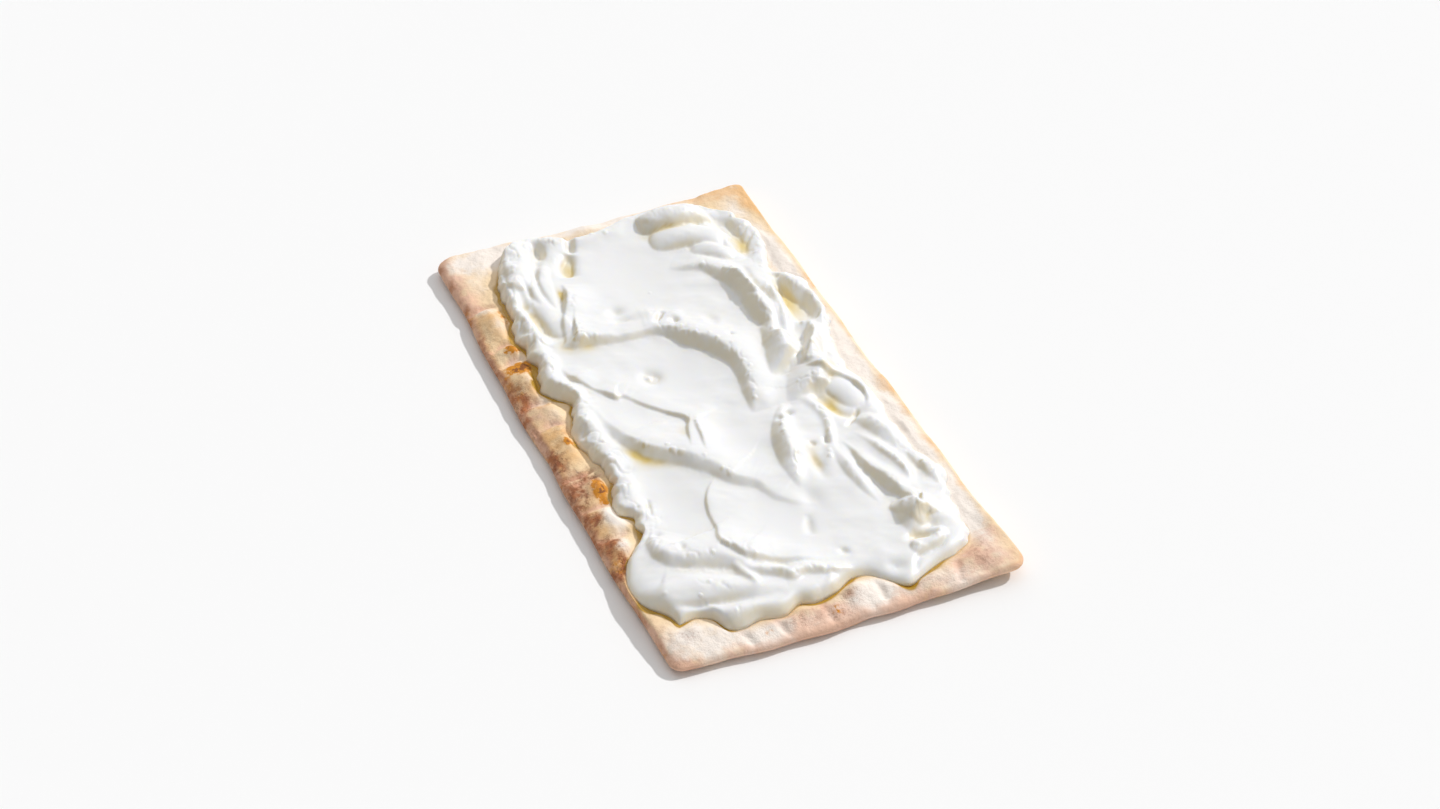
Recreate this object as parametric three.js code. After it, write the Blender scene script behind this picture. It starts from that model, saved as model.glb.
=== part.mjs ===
// Labneh manakish: a rectangular flatbread spread with labneh, which a spoon has left in folds and swirls.
// Millimetres, +Z up. +X runs across the bread and +Y along it, and the origin is under its middle.
import * as THREE from "three";

// Bread
const HALF_WIDTH = 79.7;
const HALF_LENGTH = 148.7;
const SIDE_BOW = { front: 3.4, right: 0.2, back: -2.2, left: 2.6 }; // how far each side swells or draws in
const RIPPLE = 0.5; // hand-cut waver of the outline
const RIPPLE_PACES = [7, 17]; // how fast its two waves run
const CORNER_RADIUS = { front: [5, 6], right: [6, 4], back: [4, 7], left: [7, 5] }; // at each side's ends
const BED_HEIGHT = 7; // top of the pressed dough that the labneh lies on
const EDGE_ROUND = 2.5; // width of the rounded shoulder above the edge
const LEFT_EDGE_ROUND = 7; // the same on the left side
const LEFT_ROUND_START = 60; // distance left of the middle where the wider shoulder begins
const LEFT_ROUND_FULL = 78; // and where it is in full
const ROUND_LIMIT = 0.7; // widest that the shoulder is, as a share of the rim's width
const UNDER_ROUND = 4; // width of the rounded shoulder below the edge
const EDGE_SHARE = 0.42; // height of the outermost line, as a share of the edge's thickness
const LIFT_REACH = 22; // how far in from the edge the underside leaves the table
const SIDE_LIFT = 0.6; // how high the edge of the underside stands along the sides
const RIM_RISE = 0.3; // swelling of the rim above the bed, apart from the pillows
const RIM_FADE = 0.7; // share of the rim's width from which it falls to the bed
const NARROW_RIM = 10; // a rim narrower than this swells less
const FRONT_TAPER = 2; // how much thinner the front edge is
const FRONT_TAPER_REACH = 14; // how far in from the edge it thins
const FRONT_TAPER_START = 125; // distance in front of the middle where the thinning begins
const FRONT_TAPER_FULL = 145; // and where it is in full
const DRAWN_CORNERS = [
  { at: [80, -150], reach: 26, shift: [1.2, -3] },
  { at: [-80, 148], reach: 26, shift: [-1.6, 0] },
];
const CURLED_CORNERS = [
  { at: [80, -150], reach: 60, lift: 2.6 },
  { at: [-80, -148], reach: 34, lift: 0.2 },
  { at: [-80, 148], reach: 34, lift: 0.6 },
  { at: [80, 149], reach: 34, lift: 1.0 },
];
const PILLOWS = [
  { at: [0, -147], spread: [70, 9], rise: 0.5 },
  { at: [-71, 88], spread: [5.5, 11], rise: 3.2 },
  { at: [-70.5, 66], spread: [4, 4], rise: 3.2 },
  { at: [-71.5, 42], spread: [5.5, 10], rise: 3.2 },
  { at: [-70, 19], spread: [5.5, 5], rise: 2.6 },
  { at: [-70.5, -3], spread: [5.5, 10], rise: 3 },
  { at: [-69.5, -37], spread: [5.5, 6], rise: 3.2 },
  { at: [-71, -57], spread: [5, 7], rise: 2.8 },
  { at: [-73, -77], spread: [4.5, 7], rise: 2 },
  { at: [-62, -134], spread: [9, 5], rise: 1.8 },
  { at: [-20, -141], spread: [9, 4], rise: 1.6 },
  { at: [6, -136], spread: [6, 5], rise: 2.8 },
  { at: [36, -145], spread: [9, 4], rise: 1.4 },
  { at: [63, -139], spread: [9, 6], rise: 1.6 },
  { at: [73, 88], spread: [5, 12], rise: 1.2 },
  { at: [72, -52], spread: [5, 10], rise: 1.2 },
  { at: [-9, 140], spread: [14, 4], rise: 1.6 },
];
const CREASE_FADE = 0.5; // how late a crease of the rim fades towards its ends
const CREASES = [
  { path: [[-83, 100], [-74, 103], [-66, 102]], halfWidth: 2, rise: -2.4 },
  { path: [[-80, 70], [-73, 73], [-67, 71]], halfWidth: 1.8, rise: -1.8 },
  { path: [[-80, 58], [-72, 61], [-66, 60]], halfWidth: 1.8, rise: -2.2 },
  { path: [[-83, 27], [-74, 28], [-68, 26]], halfWidth: 2.6, rise: -2.4 },
  { path: [[-81, 9], [-72, 11], [-65, 9]], halfWidth: 2, rise: -1.6 },
  { path: [[-82, -47], [-74, -48], [-66, -46]], halfWidth: 1.8, rise: -1.8 },
  { path: [[-82, -67], [-74, -68], [-66, -66]], halfWidth: 2.2, rise: -2 },
  { path: [[-82, -88], [-78, -89], [-74, -88]], halfWidth: 1.8, rise: -1.4 },
  { path: [[-44, -151], [-45, -145], [-47, -139]], halfWidth: 1.8, rise: -1.2 },
  { path: [[-28, -151], [-30, -145], [-31, -140]], halfWidth: 1.8, rise: -1.2 },
  { path: [[-8, -151], [-9, -144], [-10, -138]], halfWidth: 1.8, rise: -1.4 },
  { path: [[16, -147], [17, -141], [16, -135]], halfWidth: 2, rise: -1.4 },
  { path: [[50, -151], [51, -145], [54, -139]], halfWidth: 2, rise: -1.2 },
];

// Labneh
const LAYER_GAP = 0.3; // between the bed and the foot of the labneh
const BODY = 3.7; // thickness of the spread before the spoon marks
const EDGE_FALL = 2.2; // width of the rounded edge of the spread
const FRONT_FALL = 5; // the same along the front
const FRONT_FALL_START = 105; // distance in front of the middle where the wider edge begins
const FRONT_FALL_FULL = 125; // and where it is in full
const LOWEST = 0.9; // thinnest that a spoon mark leaves the spread
const LABNEH_SIDES = {
  front: [
    [-68.6, -128.5], [-60.5, -127.5], [-54.5, -131], [-51, -138.5], [-45, -140.4], [-36.5, -139],
    [-26.5, -140.6], [-18.5, -137], [-11.5, -138.7], [-1.5, -136.5], [7.5, -131.8], [15, -132.2],
    [20.5, -137], [28.4, -144.2], [36, -141.5], [46, -137.5], [56, -134.8], [63.5, -130.5],
  ],
  right: [
    [63.5, -130.5], [67, -124], [68, -113], [70, -99], [73.5, -90], [73, -80], [69, -68], [69, -55],
    [68.5, -44], [70, -28], [67, -8], [66.5, 3], [70, 21], [74.5, 32], [76, 48], [74, 66], [65.5, 76],
    [70, 98], [70.5, 112], [62, 127],
  ],
  back: [
    [62, 127], [53, 136], [43, 142], [30, 143.5], [17, 142], [5, 139], [-7, 135.5], [-18, 136.5],
    [-27, 141], [-36, 144], [-45, 141.5], [-52.5, 134.5],
  ],
  left: [
    [-52.5, 134.5], [-57.5, 124], [-61, 114], [-63.5, 105], [-63, 99], [-64, 88], [-67, 78], [-65.5, 63],
    [-66, 52], [-68.5, 34], [-64.5, 26.5], [-60, 20.5], [-61.5, 14.5], [-65.5, 5], [-66.5, -5],
    [-65.5, -13], [-62.5, -24], [-62.5, -36], [-66.5, -48], [-66.5, -57], [-61.5, -63.5], [-65.5, -75],
    [-74.5, -85], [-79.5, -97], [-79.5, -107], [-77, -114], [-71, -121.5], [-68.6, -128.5],
  ],
};

// Spoon marks in the labneh. Each ledge is high on the left of the line at its foot, along which it takes
// the given rises. Its wall has the given run and rounding, a slope falls away behind it over the given
// length, and a short ramp leads up to it.
const RAMP_SHARE = 0.15; // part of a ledge's rise that its ramp takes
const END_SHARE = 0.25; // run of a wall at the ends of its ledge, as a share of the run in full
const LEAST_RUN = 3; // shortest run of a wall
const LEDGES = {
  rightScoop: {
    foot: [
      [18, 93], [25, 88], [32, 83.5], [35, 75], [38, 65], [39, 55], [38.5, 45], [39, 36], [41, 28],
      [45, 21],
    ],
    rises: [0, 1.8, 3, 5.8, 8.2, 8.4, 7.8, 6.4, 3.4, 0], run: 7, back: 8, ramp: 3, rounding: 1.15,
  },
  middleArc: {
    foot: [
      [-51, 55.5], [-45, 52], [-36, 50.5], [-22, 49], [-10, 48], [-2.5, 43], [2.5, 36.5], [7.5, 30.5],
      [12, 24.5], [15, 17], [15.5, 9], [14.5, 0], [12, -8], [12, -20],
    ],
    rises: [0, 5.4, 4, 2.8, 2.8, 4.4, 6, 6, 5.4, 4.8, 4.6, 3.6, 0], run: 5.2, back: 13, ramp: 2.5,
    rounding: 1.2,
  },
  leftStep: {
    foot: [
      [-55, 24], [-54, 6], [-52.5, -10], [-50.5, -19], [-43.5, -31.5], [-31, -41], [-25, -48], [-19, -56],
      [-16.5, -60], [-12, -63.5], [-7.5, -66.5], [-4.5, -71], [-2, -77], [4, -82], [14, -86],
    ],
    rises: [0, 0.5, 1, 2.8, 4.4, 4.6, 4.6, 4.6, 4, 2.8, 1.6, 0.8, 0], run: 5.5, back: 15, ramp: 1.2,
    rounding: 1.15,
  },
  leftCrease: {
    foot: [
      [-21, -54], [-27, -60], [-31, -66], [-33, -74], [-33.5, -83], [-36, -91], [-36.5, -98], [-33, -104],
      [-30, -110],
    ],
    rises: [0, 0.9, 1.3, 1.2, 1.3, 1.6, 2.2, 1.8, 0], run: 1, back: 12, ramp: 1.4, rounding: 1.3,
  },
  upperFrontStep: {
    foot: [[-38, -95], [-34.5, -104], [-30, -109], [-21, -113.5], [-13, -116.5], [-4, -120], [8, -122]],
    rises: [0, 1.6, 2.8, 3, 2.2, 1, 0], run: 2.6, back: 12, ramp: 1.6, rounding: 1.3,
  },
  lowerFrontStep: {
    foot: [[-32, -113], [-29, -119], [-21, -125.5], [-16, -127], [-10, -125.5], [-1, -129], [10, -129]],
    rises: [0, 3.2, 4.2, 4, 3, 2, 0], run: 3.4, back: 5, ramp: 2, rounding: 1.3,
  },
  frontLeftStep: {
    foot: [
      [-58, -73], [-64.5, -82], [-65.5, -92], [-57, -100], [-46, -106.5], [-39, -110.5], [-35, -114],
      [-31, -122],
    ],
    rises: [0, 2.6, 3.8, 4.2, 4.8, 5.2, 3.6, 0], run: 6, back: 15, ramp: 1.5, rounding: 1.5,
  },
  centreCrease: {
    foot: [
      [-56, 41], [-53.5, 31], [-47, 21.5], [-41.5, 11.5], [-36.5, 11.5], [-29.5, 1], [-23.5, -6.5],
      [-18.5, -14], [-21, -22], [-23.5, -35],
    ],
    rises: [0, 2.4, 0.8, 2.6, 0.9, 1.6, 1.6, 2.2, 2, 0], run: 1.2, back: 10, ramp: 1.4, rounding: 1.3,
  },
  centreLine: {
    foot: [[-14.5, -14], [-17, -21], [-18, -30], [-18.5, -39]], rises: [0, 1.6, 1.6, 0], run: 1, back: 6,
    ramp: 1.5, rounding: 1.3,
  },
  faintLine: {
    foot: [[-18, -18], [-10, -14.5], [0, -13]], rises: [0, 0.7, 0.6, 0], run: 1, back: 6, ramp: 1.5,
    rounding: 1.3,
  },
  leftFold: {
    foot: [[-33.5, 101], [-38.5, 86], [-42.5, 76], [-46.5, 66], [-49, 56]], rises: [0, 4, 2.8, 2.4, 0],
    run: 2.6, back: 9, ramp: 1.5, rounding: 1.3,
  },
  softHollow: {
    foot: [[37.5, 34], [35, 22], [32.5, 11], [30, -2]], rises: [0, 8.5, 8.5, 0], run: 9, back: 5, ramp: 3,
    rounding: 1.5,
  },
  slantShade: {
    foot: [[61.5, 28], [54, 16], [47.5, 6.5], [43, -2]], rises: [0, 7.6, 7.6, 0], run: 3.6, back: 5,
    ramp: 1, rounding: 1.2,
  },
  softSlope: {
    foot: [[49, 14], [40, 1], [34, -9], [29, -20]], rises: [0, 6.5, 6.5, 0], run: 13, back: 6, ramp: 3,
    rounding: 1.5,
  },
  pocketLip: {
    foot: [[72, 37], [67, 30.5], [61, 30], [56, 33.5]], rises: [0, 2.6, 2.6, 0], run: 1.6, back: 5,
    ramp: 1, rounding: 1.2,
  },
  ring: {
    foot: [[44, -5], [51, -11], [57, -16.5], [61.5, -23], [62.5, -31], [60, -38]],
    rises: [0, 3.2, 3.4, 2.4, 1.8, 0], run: 2, back: 4, ramp: 2, rounding: 1.3,
  },
  centreShade: {
    foot: [[25, -19], [19, -27], [12.5, -39], [9.5, -51], [8.5, -64], [10, -74]],
    rises: [0, 2.4, 4.6, 5.6, 4.8, 2.4, 0], run: 6.5, back: 5, ramp: 3, rounding: 1.3,
  },
  lowerRightOne: {
    foot: [[36, -54], [32, -66], [32.5, -80], [38, -96]], rises: [0, 2.4, 2.4, 0], run: 3.4, back: 4,
    ramp: 3, rounding: 1.3,
  },
  lowerRightTwo: {
    foot: [[40.5, -54], [40, -64], [40.5, -74], [43, -84], [45.5, -93], [49, -102]],
    rises: [0, 2.4, 4, 4.6, 4.6, 0], run: 2.6, back: 5, ramp: 1.5, rounding: 1.3,
  },
  lowerRightSlope: {
    foot: [[43, -50], [43, -65], [45, -80], [49, -92], [55, -100]], rises: [0, 2.2, 2.8, 2.6, 0], run: 10,
    back: 4, ramp: 2, rounding: 1.3,
  },
  lowerRightThree: {
    foot: [[46, -50], [49, -59], [51.5, -70], [54, -82], [57, -92]], rises: [0, 1.2, 1.6, 1.6, 0],
    run: 2.6, back: 4, ramp: 1.5, rounding: 1.3,
  },
  lowerRightFour: {
    foot: [[49, -39], [52, -50], [56, -60], [60, -70]], rises: [0, 3.4, 3.2, 0], run: 6, back: 5, ramp: 2,
    rounding: 1.5,
  },
  rightEdge: {
    foot: [[61.5, -71], [63, -82], [66.5, -96]], rises: [0, 2.6, 0], run: 3, back: 4, ramp: 3,
    rounding: 1.3,
  },
  brokenFace: {
    foot: [[50, -92], [45, -99], [41, -106], [39.5, -112], [41, -119]], rises: [0, 6, 7.4, 6, 0], run: 9,
    back: 6, ramp: 2, rounding: 1.2,
  },
  frontFace: {
    foot: [
      [-81, -113], [-73, -119.5], [-61, -123], [-51, -126], [-43, -128.5], [-33, -130.5], [-21, -132.5],
    ],
    rises: [0, 2.2, 2.4, 2.2, 1.6, 0], run: 7, back: 10, ramp: 2, rounding: 1.6,
  },
  frontShade: {
    foot: [[-1, -128], [-6, -134], [-10, -140]], rises: [0, 2.8, 2.2], run: 4, back: 5, ramp: 3,
    rounding: 1.3,
  },
};
// Logs of labneh folded onto the rest, half round across, with their heights over the bed.
const LOGS = {
  backLog: { path: [[17, 130], [27, 128.5], [38, 127], [52, 128]], halfWidth: 9.8, height: 11.5 },
  secondLog: {
    path: [[18, 117.5], [26, 115], [35, 112.5], [43, 108.5], [52, 101]], halfWidth: 10, height: 8.1,
  },
  thirdLog: { path: [[32, 102], [42, 97], [53, 90]], halfWidth: 8, height: 6.9 },
  ringLog: { path: [[45, -1], [54, -18], [61, -36]], halfWidth: 8.6, height: 5.7 },
};
// The height and width at the ends of a log, as shares of those in full.
const LOG_END_HEIGHT = 0.3;
const LOG_END_WIDTH = 0.8;
// Half-round swells of the surface.
const SWELLS = {
  petal: { path: [[-40, 112], [-44, 98], [-47, 84], [-46, 68]], halfWidth: 5.6, rise: 1 },
  backPetal: { path: [[-44, 134], [-48, 122], [-51, 108]], halfWidth: 6.5, rise: 1.2 },
  brokenLog: { path: [[44, -103], [48, -112]], halfWidth: 4, rise: 1.6 },
  frontRightLog: { path: [[43, -128], [52, -123]], halfWidth: 5, rise: 1.6 },
};
const ROLL_FADE = 0.7; // how late a roll or groove fades towards its ends
// Rolls, and grooves where the rise is negative.
const ROLLS = {
  leftBorder: {
    path: [
      [-45, 133], [-52, 120], [-57, 103], [-58, 84], [-60, 66], [-60, 48], [-61, 32], [-56, 18], [-59, 2],
      [-58, -16], [-57, -36], [-59, -54], [-57, -72],
    ],
    halfWidth: 4.5, rise: 2.8,
  },
  backBorder: {
    path: [[-58, 127], [-50, 136], [-38, 138], [-26, 134], [-12, 130], [2, 132], [14, 136], [28, 137]],
    halfWidth: 4, rise: 2,
  },
  frontRoll: {
    path: [[-74, -98], [-67, -110], [-52, -116], [-36, -122], [-15, -130], [8, -133]], halfWidth: 7,
    rise: 1.8,
  },
  frontFootRoll: {
    path: [[-64, -126], [-50, -133], [-36, -135.5], [-22, -137], [-8, -135]], halfWidth: 4, rise: 2.2,
  },
  valleyRidge: { path: [[57, 66], [54, 44], [51, 27], [45, 12]], halfWidth: 2.6, rise: 3 },
  pocketRidge: { path: [[63, 72], [68, 58], [72, 42], [73, 32]], halfWidth: 3.2, rise: 2.6 },
  rightValley: { path: [[50.5, 80], [50, 64], [52, 43]], halfWidth: 2.4, rise: -4.4 },
  goldenPocket: { path: [[61.5, 66], [61, 52], [60, 42], [59, 28]], halfWidth: 2.6, rise: -4.6 },
  foldCrest: { path: [[44, 117], [50, 112], [52.5, 105], [53.5, 97], [54, 86]], halfWidth: 2.4, rise: 1.4 },
  backHollow: { path: [[52, 126], [56.5, 112], [58.5, 100], [56, 84]], halfWidth: 4, rise: -5.4 },
  leafHollow: {
    path: [[-33.5, 138], [-36, 130], [-40, 121], [-45, 112], [-49, 102]], halfWidth: 3.4, rise: -3,
  },
  triangleHollow: { path: [[-21.5, 122], [-26, 114.5], [-27.5, 105]], halfWidth: 3.2, rise: -4.6 },
  narrowHollow: { path: [[-17, 136], [-18.5, 129], [-20.5, 122]], halfWidth: 2, rise: -3.4 },
  leftGroove: { path: [[-54, 106], [-55.5, 92], [-55, 78], [-50.5, 60]], halfWidth: 2.8, rise: -3 },
  ringHollow: {
    path: [[43.5, -14], [44.5, -25], [47.5, -34], [53, -39], [60, -38]], halfWidth: 2.6, rise: -1.6,
  },
  swirlRidge: {
    path: [[30, -23], [37, -23], [40, -31], [39, -41], [35.5, -54], [28, -66]], halfWidth: 2.2, rise: 1.8,
  },
  streakDent: { path: [[8, -89], [2.5, -103]], halfWidth: 2, rise: -1.1 },
};
const LUMPS = [
  { at: [-35, 130], spread: [2.2, 6], rise: -2.8 },
  { at: [-27, 130], spread: [5, 6], rise: 1.4 },
  { at: [-52.5, 82], spread: [3.5, 16], rise: -0.8 },
  { at: [62.5, 69.5], spread: [2.6, 5], rise: -3.4 },
  { at: [64.5, 40], spread: [4, 9], rise: -4.2 },
  { at: [13, -81], spread: [4.5, 6], rise: -1.2 },
  { at: [24, -65], spread: [2.8, 7], rise: -1.4 },
  { at: [-18, 72], spread: [4, 3.4], rise: -2 },
  { at: [-18, 64], spread: [5, 3], rise: -1.8 },
  { at: [-3, 62], spread: [5, 4], rise: 1.2 },
  { at: [6, 58], spread: [5, 4], rise: 1.4 },
  { at: [4, 52], spread: [2.2, 3], rise: -2.4 },
  { at: [20, 48], spread: [3, 4], rise: -1.4 },
  { at: [-20, 22], spread: [4.2, 4.4], rise: -2.8 },
  { at: [28, -134], spread: [4, 4], rise: -1.8 },
  { at: [-76, -100], spread: [7, 12], rise: -1.2 },
  { at: [55, -106], spread: [7, 8], rise: 1.4 },
  { at: [43, -121.5], spread: [4, 2.2], rise: -2.4 },
  { at: [48, -122.5], spread: [3.4, 2.2], rise: -2.4 },
  { at: [53, -116], spread: [4, 3], rise: -1.6 },
  { at: [-47, 118], spread: [12, 20], rise: 2.4 },
  { at: [-53, 84], spread: [9, 22], rise: 1.6 },
  { at: [70, -84], spread: [4, 8], rise: 1 },
];
const TROUGHS = [
  { at: [0, 98], spread: [24, 34], rise: -2 },
  { at: [-10, 18], spread: [22, 24], rise: -2.2 },
  { at: [-40, 0], spread: [11, 18], rise: -1 },
  { at: [-4, -42], spread: [14, 24], rise: -1.6 },
  { at: [-44, -60], spread: [14, 28], rise: -1.8 },
  { at: [-2, -90], spread: [26, 20], rise: -2.2 },
  { at: [45, -78], spread: [9, 24], rise: -1.6 },
  { at: [54, -26], spread: [8, 14], rise: -1.4 },
  { at: [37, 14], spread: [8, 18], rise: -1.2 },
];
// Places where the edge of the labneh thins out slowly: the rise is added to the width of the rounded edge.
const SLOW_FALLS = [
  { at: [-80, -102], spread: [9, 15], rise: 5 },
  { at: [34, -138], spread: [26, 9], rise: 9 },
  { at: [66, -118], spread: [8, 16], rise: 7 },
  { at: [70, -50], spread: [7, 34], rise: 8 },
  { at: [67, 4], spread: [7, 20], rise: 7 },
  { at: [67, 80], spread: [6, 10], rise: 5 },
];

// Mesh density
const ACROSS = 50; // cells across the labneh
const ALONG = 86; // cells along it
const EDGE_CROWDING = 0.35; // share of the spacing that crowds towards the edges
const CORNER_FAN = 5; // how late the rim's cells start to fan out towards a corner
const BEND_FADE_ACROSS = 5; // how soon the bends of the long sides fade away from them
const BEND_FADE_ALONG = 10; // how soon the bends of the short sides fade away from them
const RIM_ROWS = [0, 0.08, 0.2, 0.45, 0.72, 1]; // from the bread's edge to the labneh
const UNDER_ROWS = [1.2, 4, 22]; // distances in from the edge on the underside
const PATH_SAMPLES = 40;

const SIDES = ["front", "right", "back", "left"];
const { clamp, lerp, smoothstep } = THREE.MathUtils;

function sideSteps(side) {
  return side === "front" || side === "back" ? ACROSS : ALONG;
}

// Position along a side from 0 to 1, with the steps closer together towards both ends.
function spacing(step, steps) {
  const even = step / steps;
  const crowded = 0.5 - 0.5 * Math.cos(Math.PI * even);
  return lerp(even, crowded, EDGE_CROWDING);
}

// A quarter of an ellipse that rises from 0 to 1 over the given width.
function shoulder(distance, width) {
  const left = 1 - clamp(distance / width, 0, 1);
  return Math.sqrt(1 - left * left);
}

// Height of a half circle at a share of its radius from the middle.
function halfRound(share) {
  return Math.sqrt(Math.max(0, 1 - share * share));
}

function bell(share) {
  return Math.exp(-share * share);
}

function hill({ at, spread, rise }, x, y) {
  return rise * bell(Math.hypot((x - at[0]) / spread[0], (y - at[1]) / spread[1]));
}

function toPoints(places) {
  return places.map(([x, y]) => new THREE.Vector2(x, y));
}

// Points spaced evenly along a smooth curve through the given places.
function smoothLine(places) {
  return new THREE.SplineCurve(toPoints(places)).getSpacedPoints(PATH_SAMPLES);
}

// A point of the bread's outline, drawn in by the given inset. The sides run anticlockwise.
function breadPoint(side, t, inset) {
  const isShort = side === "front" || side === "back";
  const half = (isShort ? HALF_WIDTH : HALF_LENGTH) - inset;
  const reach = (isShort ? HALF_LENGTH : HALF_WIDTH) - inset;
  const radius = CORNER_RADIUS[side][t < 0.5 ? 0 : 1];
  let along = lerp(-half, half, t);
  let depth = reach;
  const intoCorner = 1 - (half - Math.abs(along)) / radius;
  if (intoCorner > 0) {
    const shrink = 1 / Math.hypot(1, intoCorner);
    along = Math.sign(along) * (half - radius + radius * intoCorner * shrink);
    depth = reach - radius * (1 - shrink);
  }
  const share = along / half;
  const waver = Math.sin(share * RIPPLE_PACES[0] + half) + Math.sin(share * RIPPLE_PACES[1] + reach);
  depth += (SIDE_BOW[side] + RIPPLE * waver) * (1 - share * share);
  const [x, y] = {
    front: [along, -depth],
    right: [depth, along],
    back: [-along, depth],
    left: [-depth, -along],
  }[side];
  const drawn = new THREE.Vector2(x, y);
  for (const corner of DRAWN_CORNERS) {
    const pull = bell(Math.hypot(x - corner.at[0], y - corner.at[1]) / corner.reach);
    drawn.x += pull * corner.shift[0];
    drawn.y += pull * corner.shift[1];
  }
  return drawn;
}

const labnehCurves = {};
for (const side of SIDES) labnehCurves[side] = new THREE.SplineCurve(toPoints(LABNEH_SIDES[side]));

// How far along its side a point lies, measured from the middle and growing anticlockwise.
function alongSide(side, { x, y }) {
  return { front: x, right: y, back: -x, left: -y }[side];
}

// The share of a bread side that faces a point of the labneh's edge, square across it except at the corners.
function facingShare(side, point) {
  const half = side === "front" || side === "back" ? HALF_WIDTH : HALF_LENGTH;
  const along = alongSide(side, point);
  const corner = alongSide(side, labnehCurves[side].getPoint(along < 0 ? 0 : 1));
  const fan = (half - Math.abs(corner)) * Math.sign(along) * Math.pow(along / corner, CORNER_FAN);
  return (along + fan + half) / (2 * half);
}

// The stations round the food, one for each step of each side.
const stations = [];
for (const side of SIDES) {
  for (let step = 0; step < sideSteps(side); step += 1) {
    const foot = labnehCurves[side].getPointAt(spacing(step, sideSteps(side)));
    stations.push({ side, foot, t: facingShare(side, foot) });
  }
}
const labnehOutline = stations.map(({ foot }) => foot);

function distanceToPath(x, y, path) {
  const nearest = { distance: Infinity, offset: 0, share: 0 };
  for (let i = 0; i + 1 < path.length; i += 1) {
    const from = path[i];
    const dx = path[i + 1].x - from.x;
    const dy = path[i + 1].y - from.y;
    const t = clamp(((x - from.x) * dx + (y - from.y) * dy) / (dx * dx + dy * dy), 0, 1);
    const awayX = x - from.x - t * dx;
    const awayY = y - from.y - t * dy;
    const distance = Math.hypot(awayX, awayY);
    if (distance < nearest.distance) {
      nearest.distance = distance;
      nearest.offset = Math.sign(dx * awayY - dy * awayX) * distance;
      nearest.share = (i + t) / (path.length - 1);
    }
  }
  return nearest;
}

const ledges = Object.values(LEDGES).map((ledge) => ({ ...ledge, line: smoothLine(ledge.foot) }));
const logs = Object.values(LOGS).map((log) => ({ ...log, line: smoothLine(log.path) }));
const swells = Object.values(SWELLS).map((swell) => ({ ...swell, line: smoothLine(swell.path) }));
const rolls = Object.values(ROLLS).map((roll) => ({ ...roll, line: smoothLine(roll.path) }));
const creases = CREASES.map((crease) => ({ ...crease, line: smoothLine(crease.path) }));

// The rise of a ledge at a share of its length, between the two nearest of its listed rises.
function riseAt(rises, share) {
  const place = share * (rises.length - 1);
  const before = Math.min(Math.floor(place), rises.length - 2);
  return lerp(rises[before], rises[before + 1], place - before);
}

function ledgeHeight({ line, rises, run, back, ramp, rounding }, x, y) {
  const { offset, share } = distanceToPath(x, y, line);
  const rise = riseAt(rises, share);
  const before = RAMP_SHARE * Math.exp(Math.min(offset, 0) / ramp);
  const wide = Math.max(LEAST_RUN, run * lerp(END_SHARE, 1, rise / Math.max(...rises)));
  const wall = (1 - RAMP_SHARE) * (1 - Math.pow(1 - clamp(offset / wide, 0, 1), rounding));
  return rise * (before + wall) * bell(Math.max(0, offset - wide) / back);
}

// A roll, or a groove, at a point: bell-shaped across and fading towards both ends.
function rollHeight({ line, halfWidth, rise }, x, y, fade) {
  const { offset, share } = distanceToPath(x, y, line);
  return rise * Math.pow(Math.max(0, Math.sin(Math.PI * share)), fade) * bell(offset / halfWidth);
}

function swellHeight({ line, halfWidth, rise }, x, y) {
  return rise * halfRound(distanceToPath(x, y, line).distance / halfWidth);
}

// A log over the bed: half round across, lower and narrower towards both ends.
function logHeight({ line, halfWidth, height }, x, y) {
  const { distance, share } = distanceToPath(x, y, line);
  const fullness = Math.sqrt(Math.max(0, Math.sin(Math.PI * share)));
  const across = distance / (halfWidth * lerp(LOG_END_WIDTH, 1, fullness));
  return height * lerp(LOG_END_HEIGHT, 1, fullness) * halfRound(across);
}

function labnehThickness(x, y) {
  let thickness = BODY;
  for (const trough of TROUGHS) thickness += hill(trough, x, y);
  for (const ledge of ledges) thickness += ledgeHeight(ledge, x, y);
  for (const swell of swells) thickness += swellHeight(swell, x, y);
  for (const roll of rolls) thickness += rollHeight(roll, x, y, ROLL_FADE);
  for (const lump of LUMPS) thickness += hill(lump, x, y);
  for (const log of logs) thickness = Math.max(thickness, logHeight(log, x, y));
  return Math.max(LOWEST, thickness);
}

// Width of the labneh's rounded edge near a point.
function edgeFall(x, y) {
  let fall = lerp(EDGE_FALL, FRONT_FALL, smoothstep(-y, FRONT_FALL_START, FRONT_FALL_FULL));
  for (const slow of SLOW_FALLS) fall += hill(slow, x, y);
  return fall;
}

function edgeLift(x, y) {
  let lift = SIDE_LIFT;
  for (const { at, reach, lift: corner } of CURLED_CORNERS) {
    lift += corner * (1 - smoothstep(Math.hypot(x - at[0], y - at[1]), 0, reach));
  }
  return lift;
}

// Underside of the bread at a distance in from its edge.
function underHeight(lift, distance) {
  return lift * (1 - smoothstep(distance, 0, LIFT_REACH));
}

function edgeHeight(lift) {
  return lift + EDGE_SHARE * (BED_HEIGHT - SIDE_LIFT);
}

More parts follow.
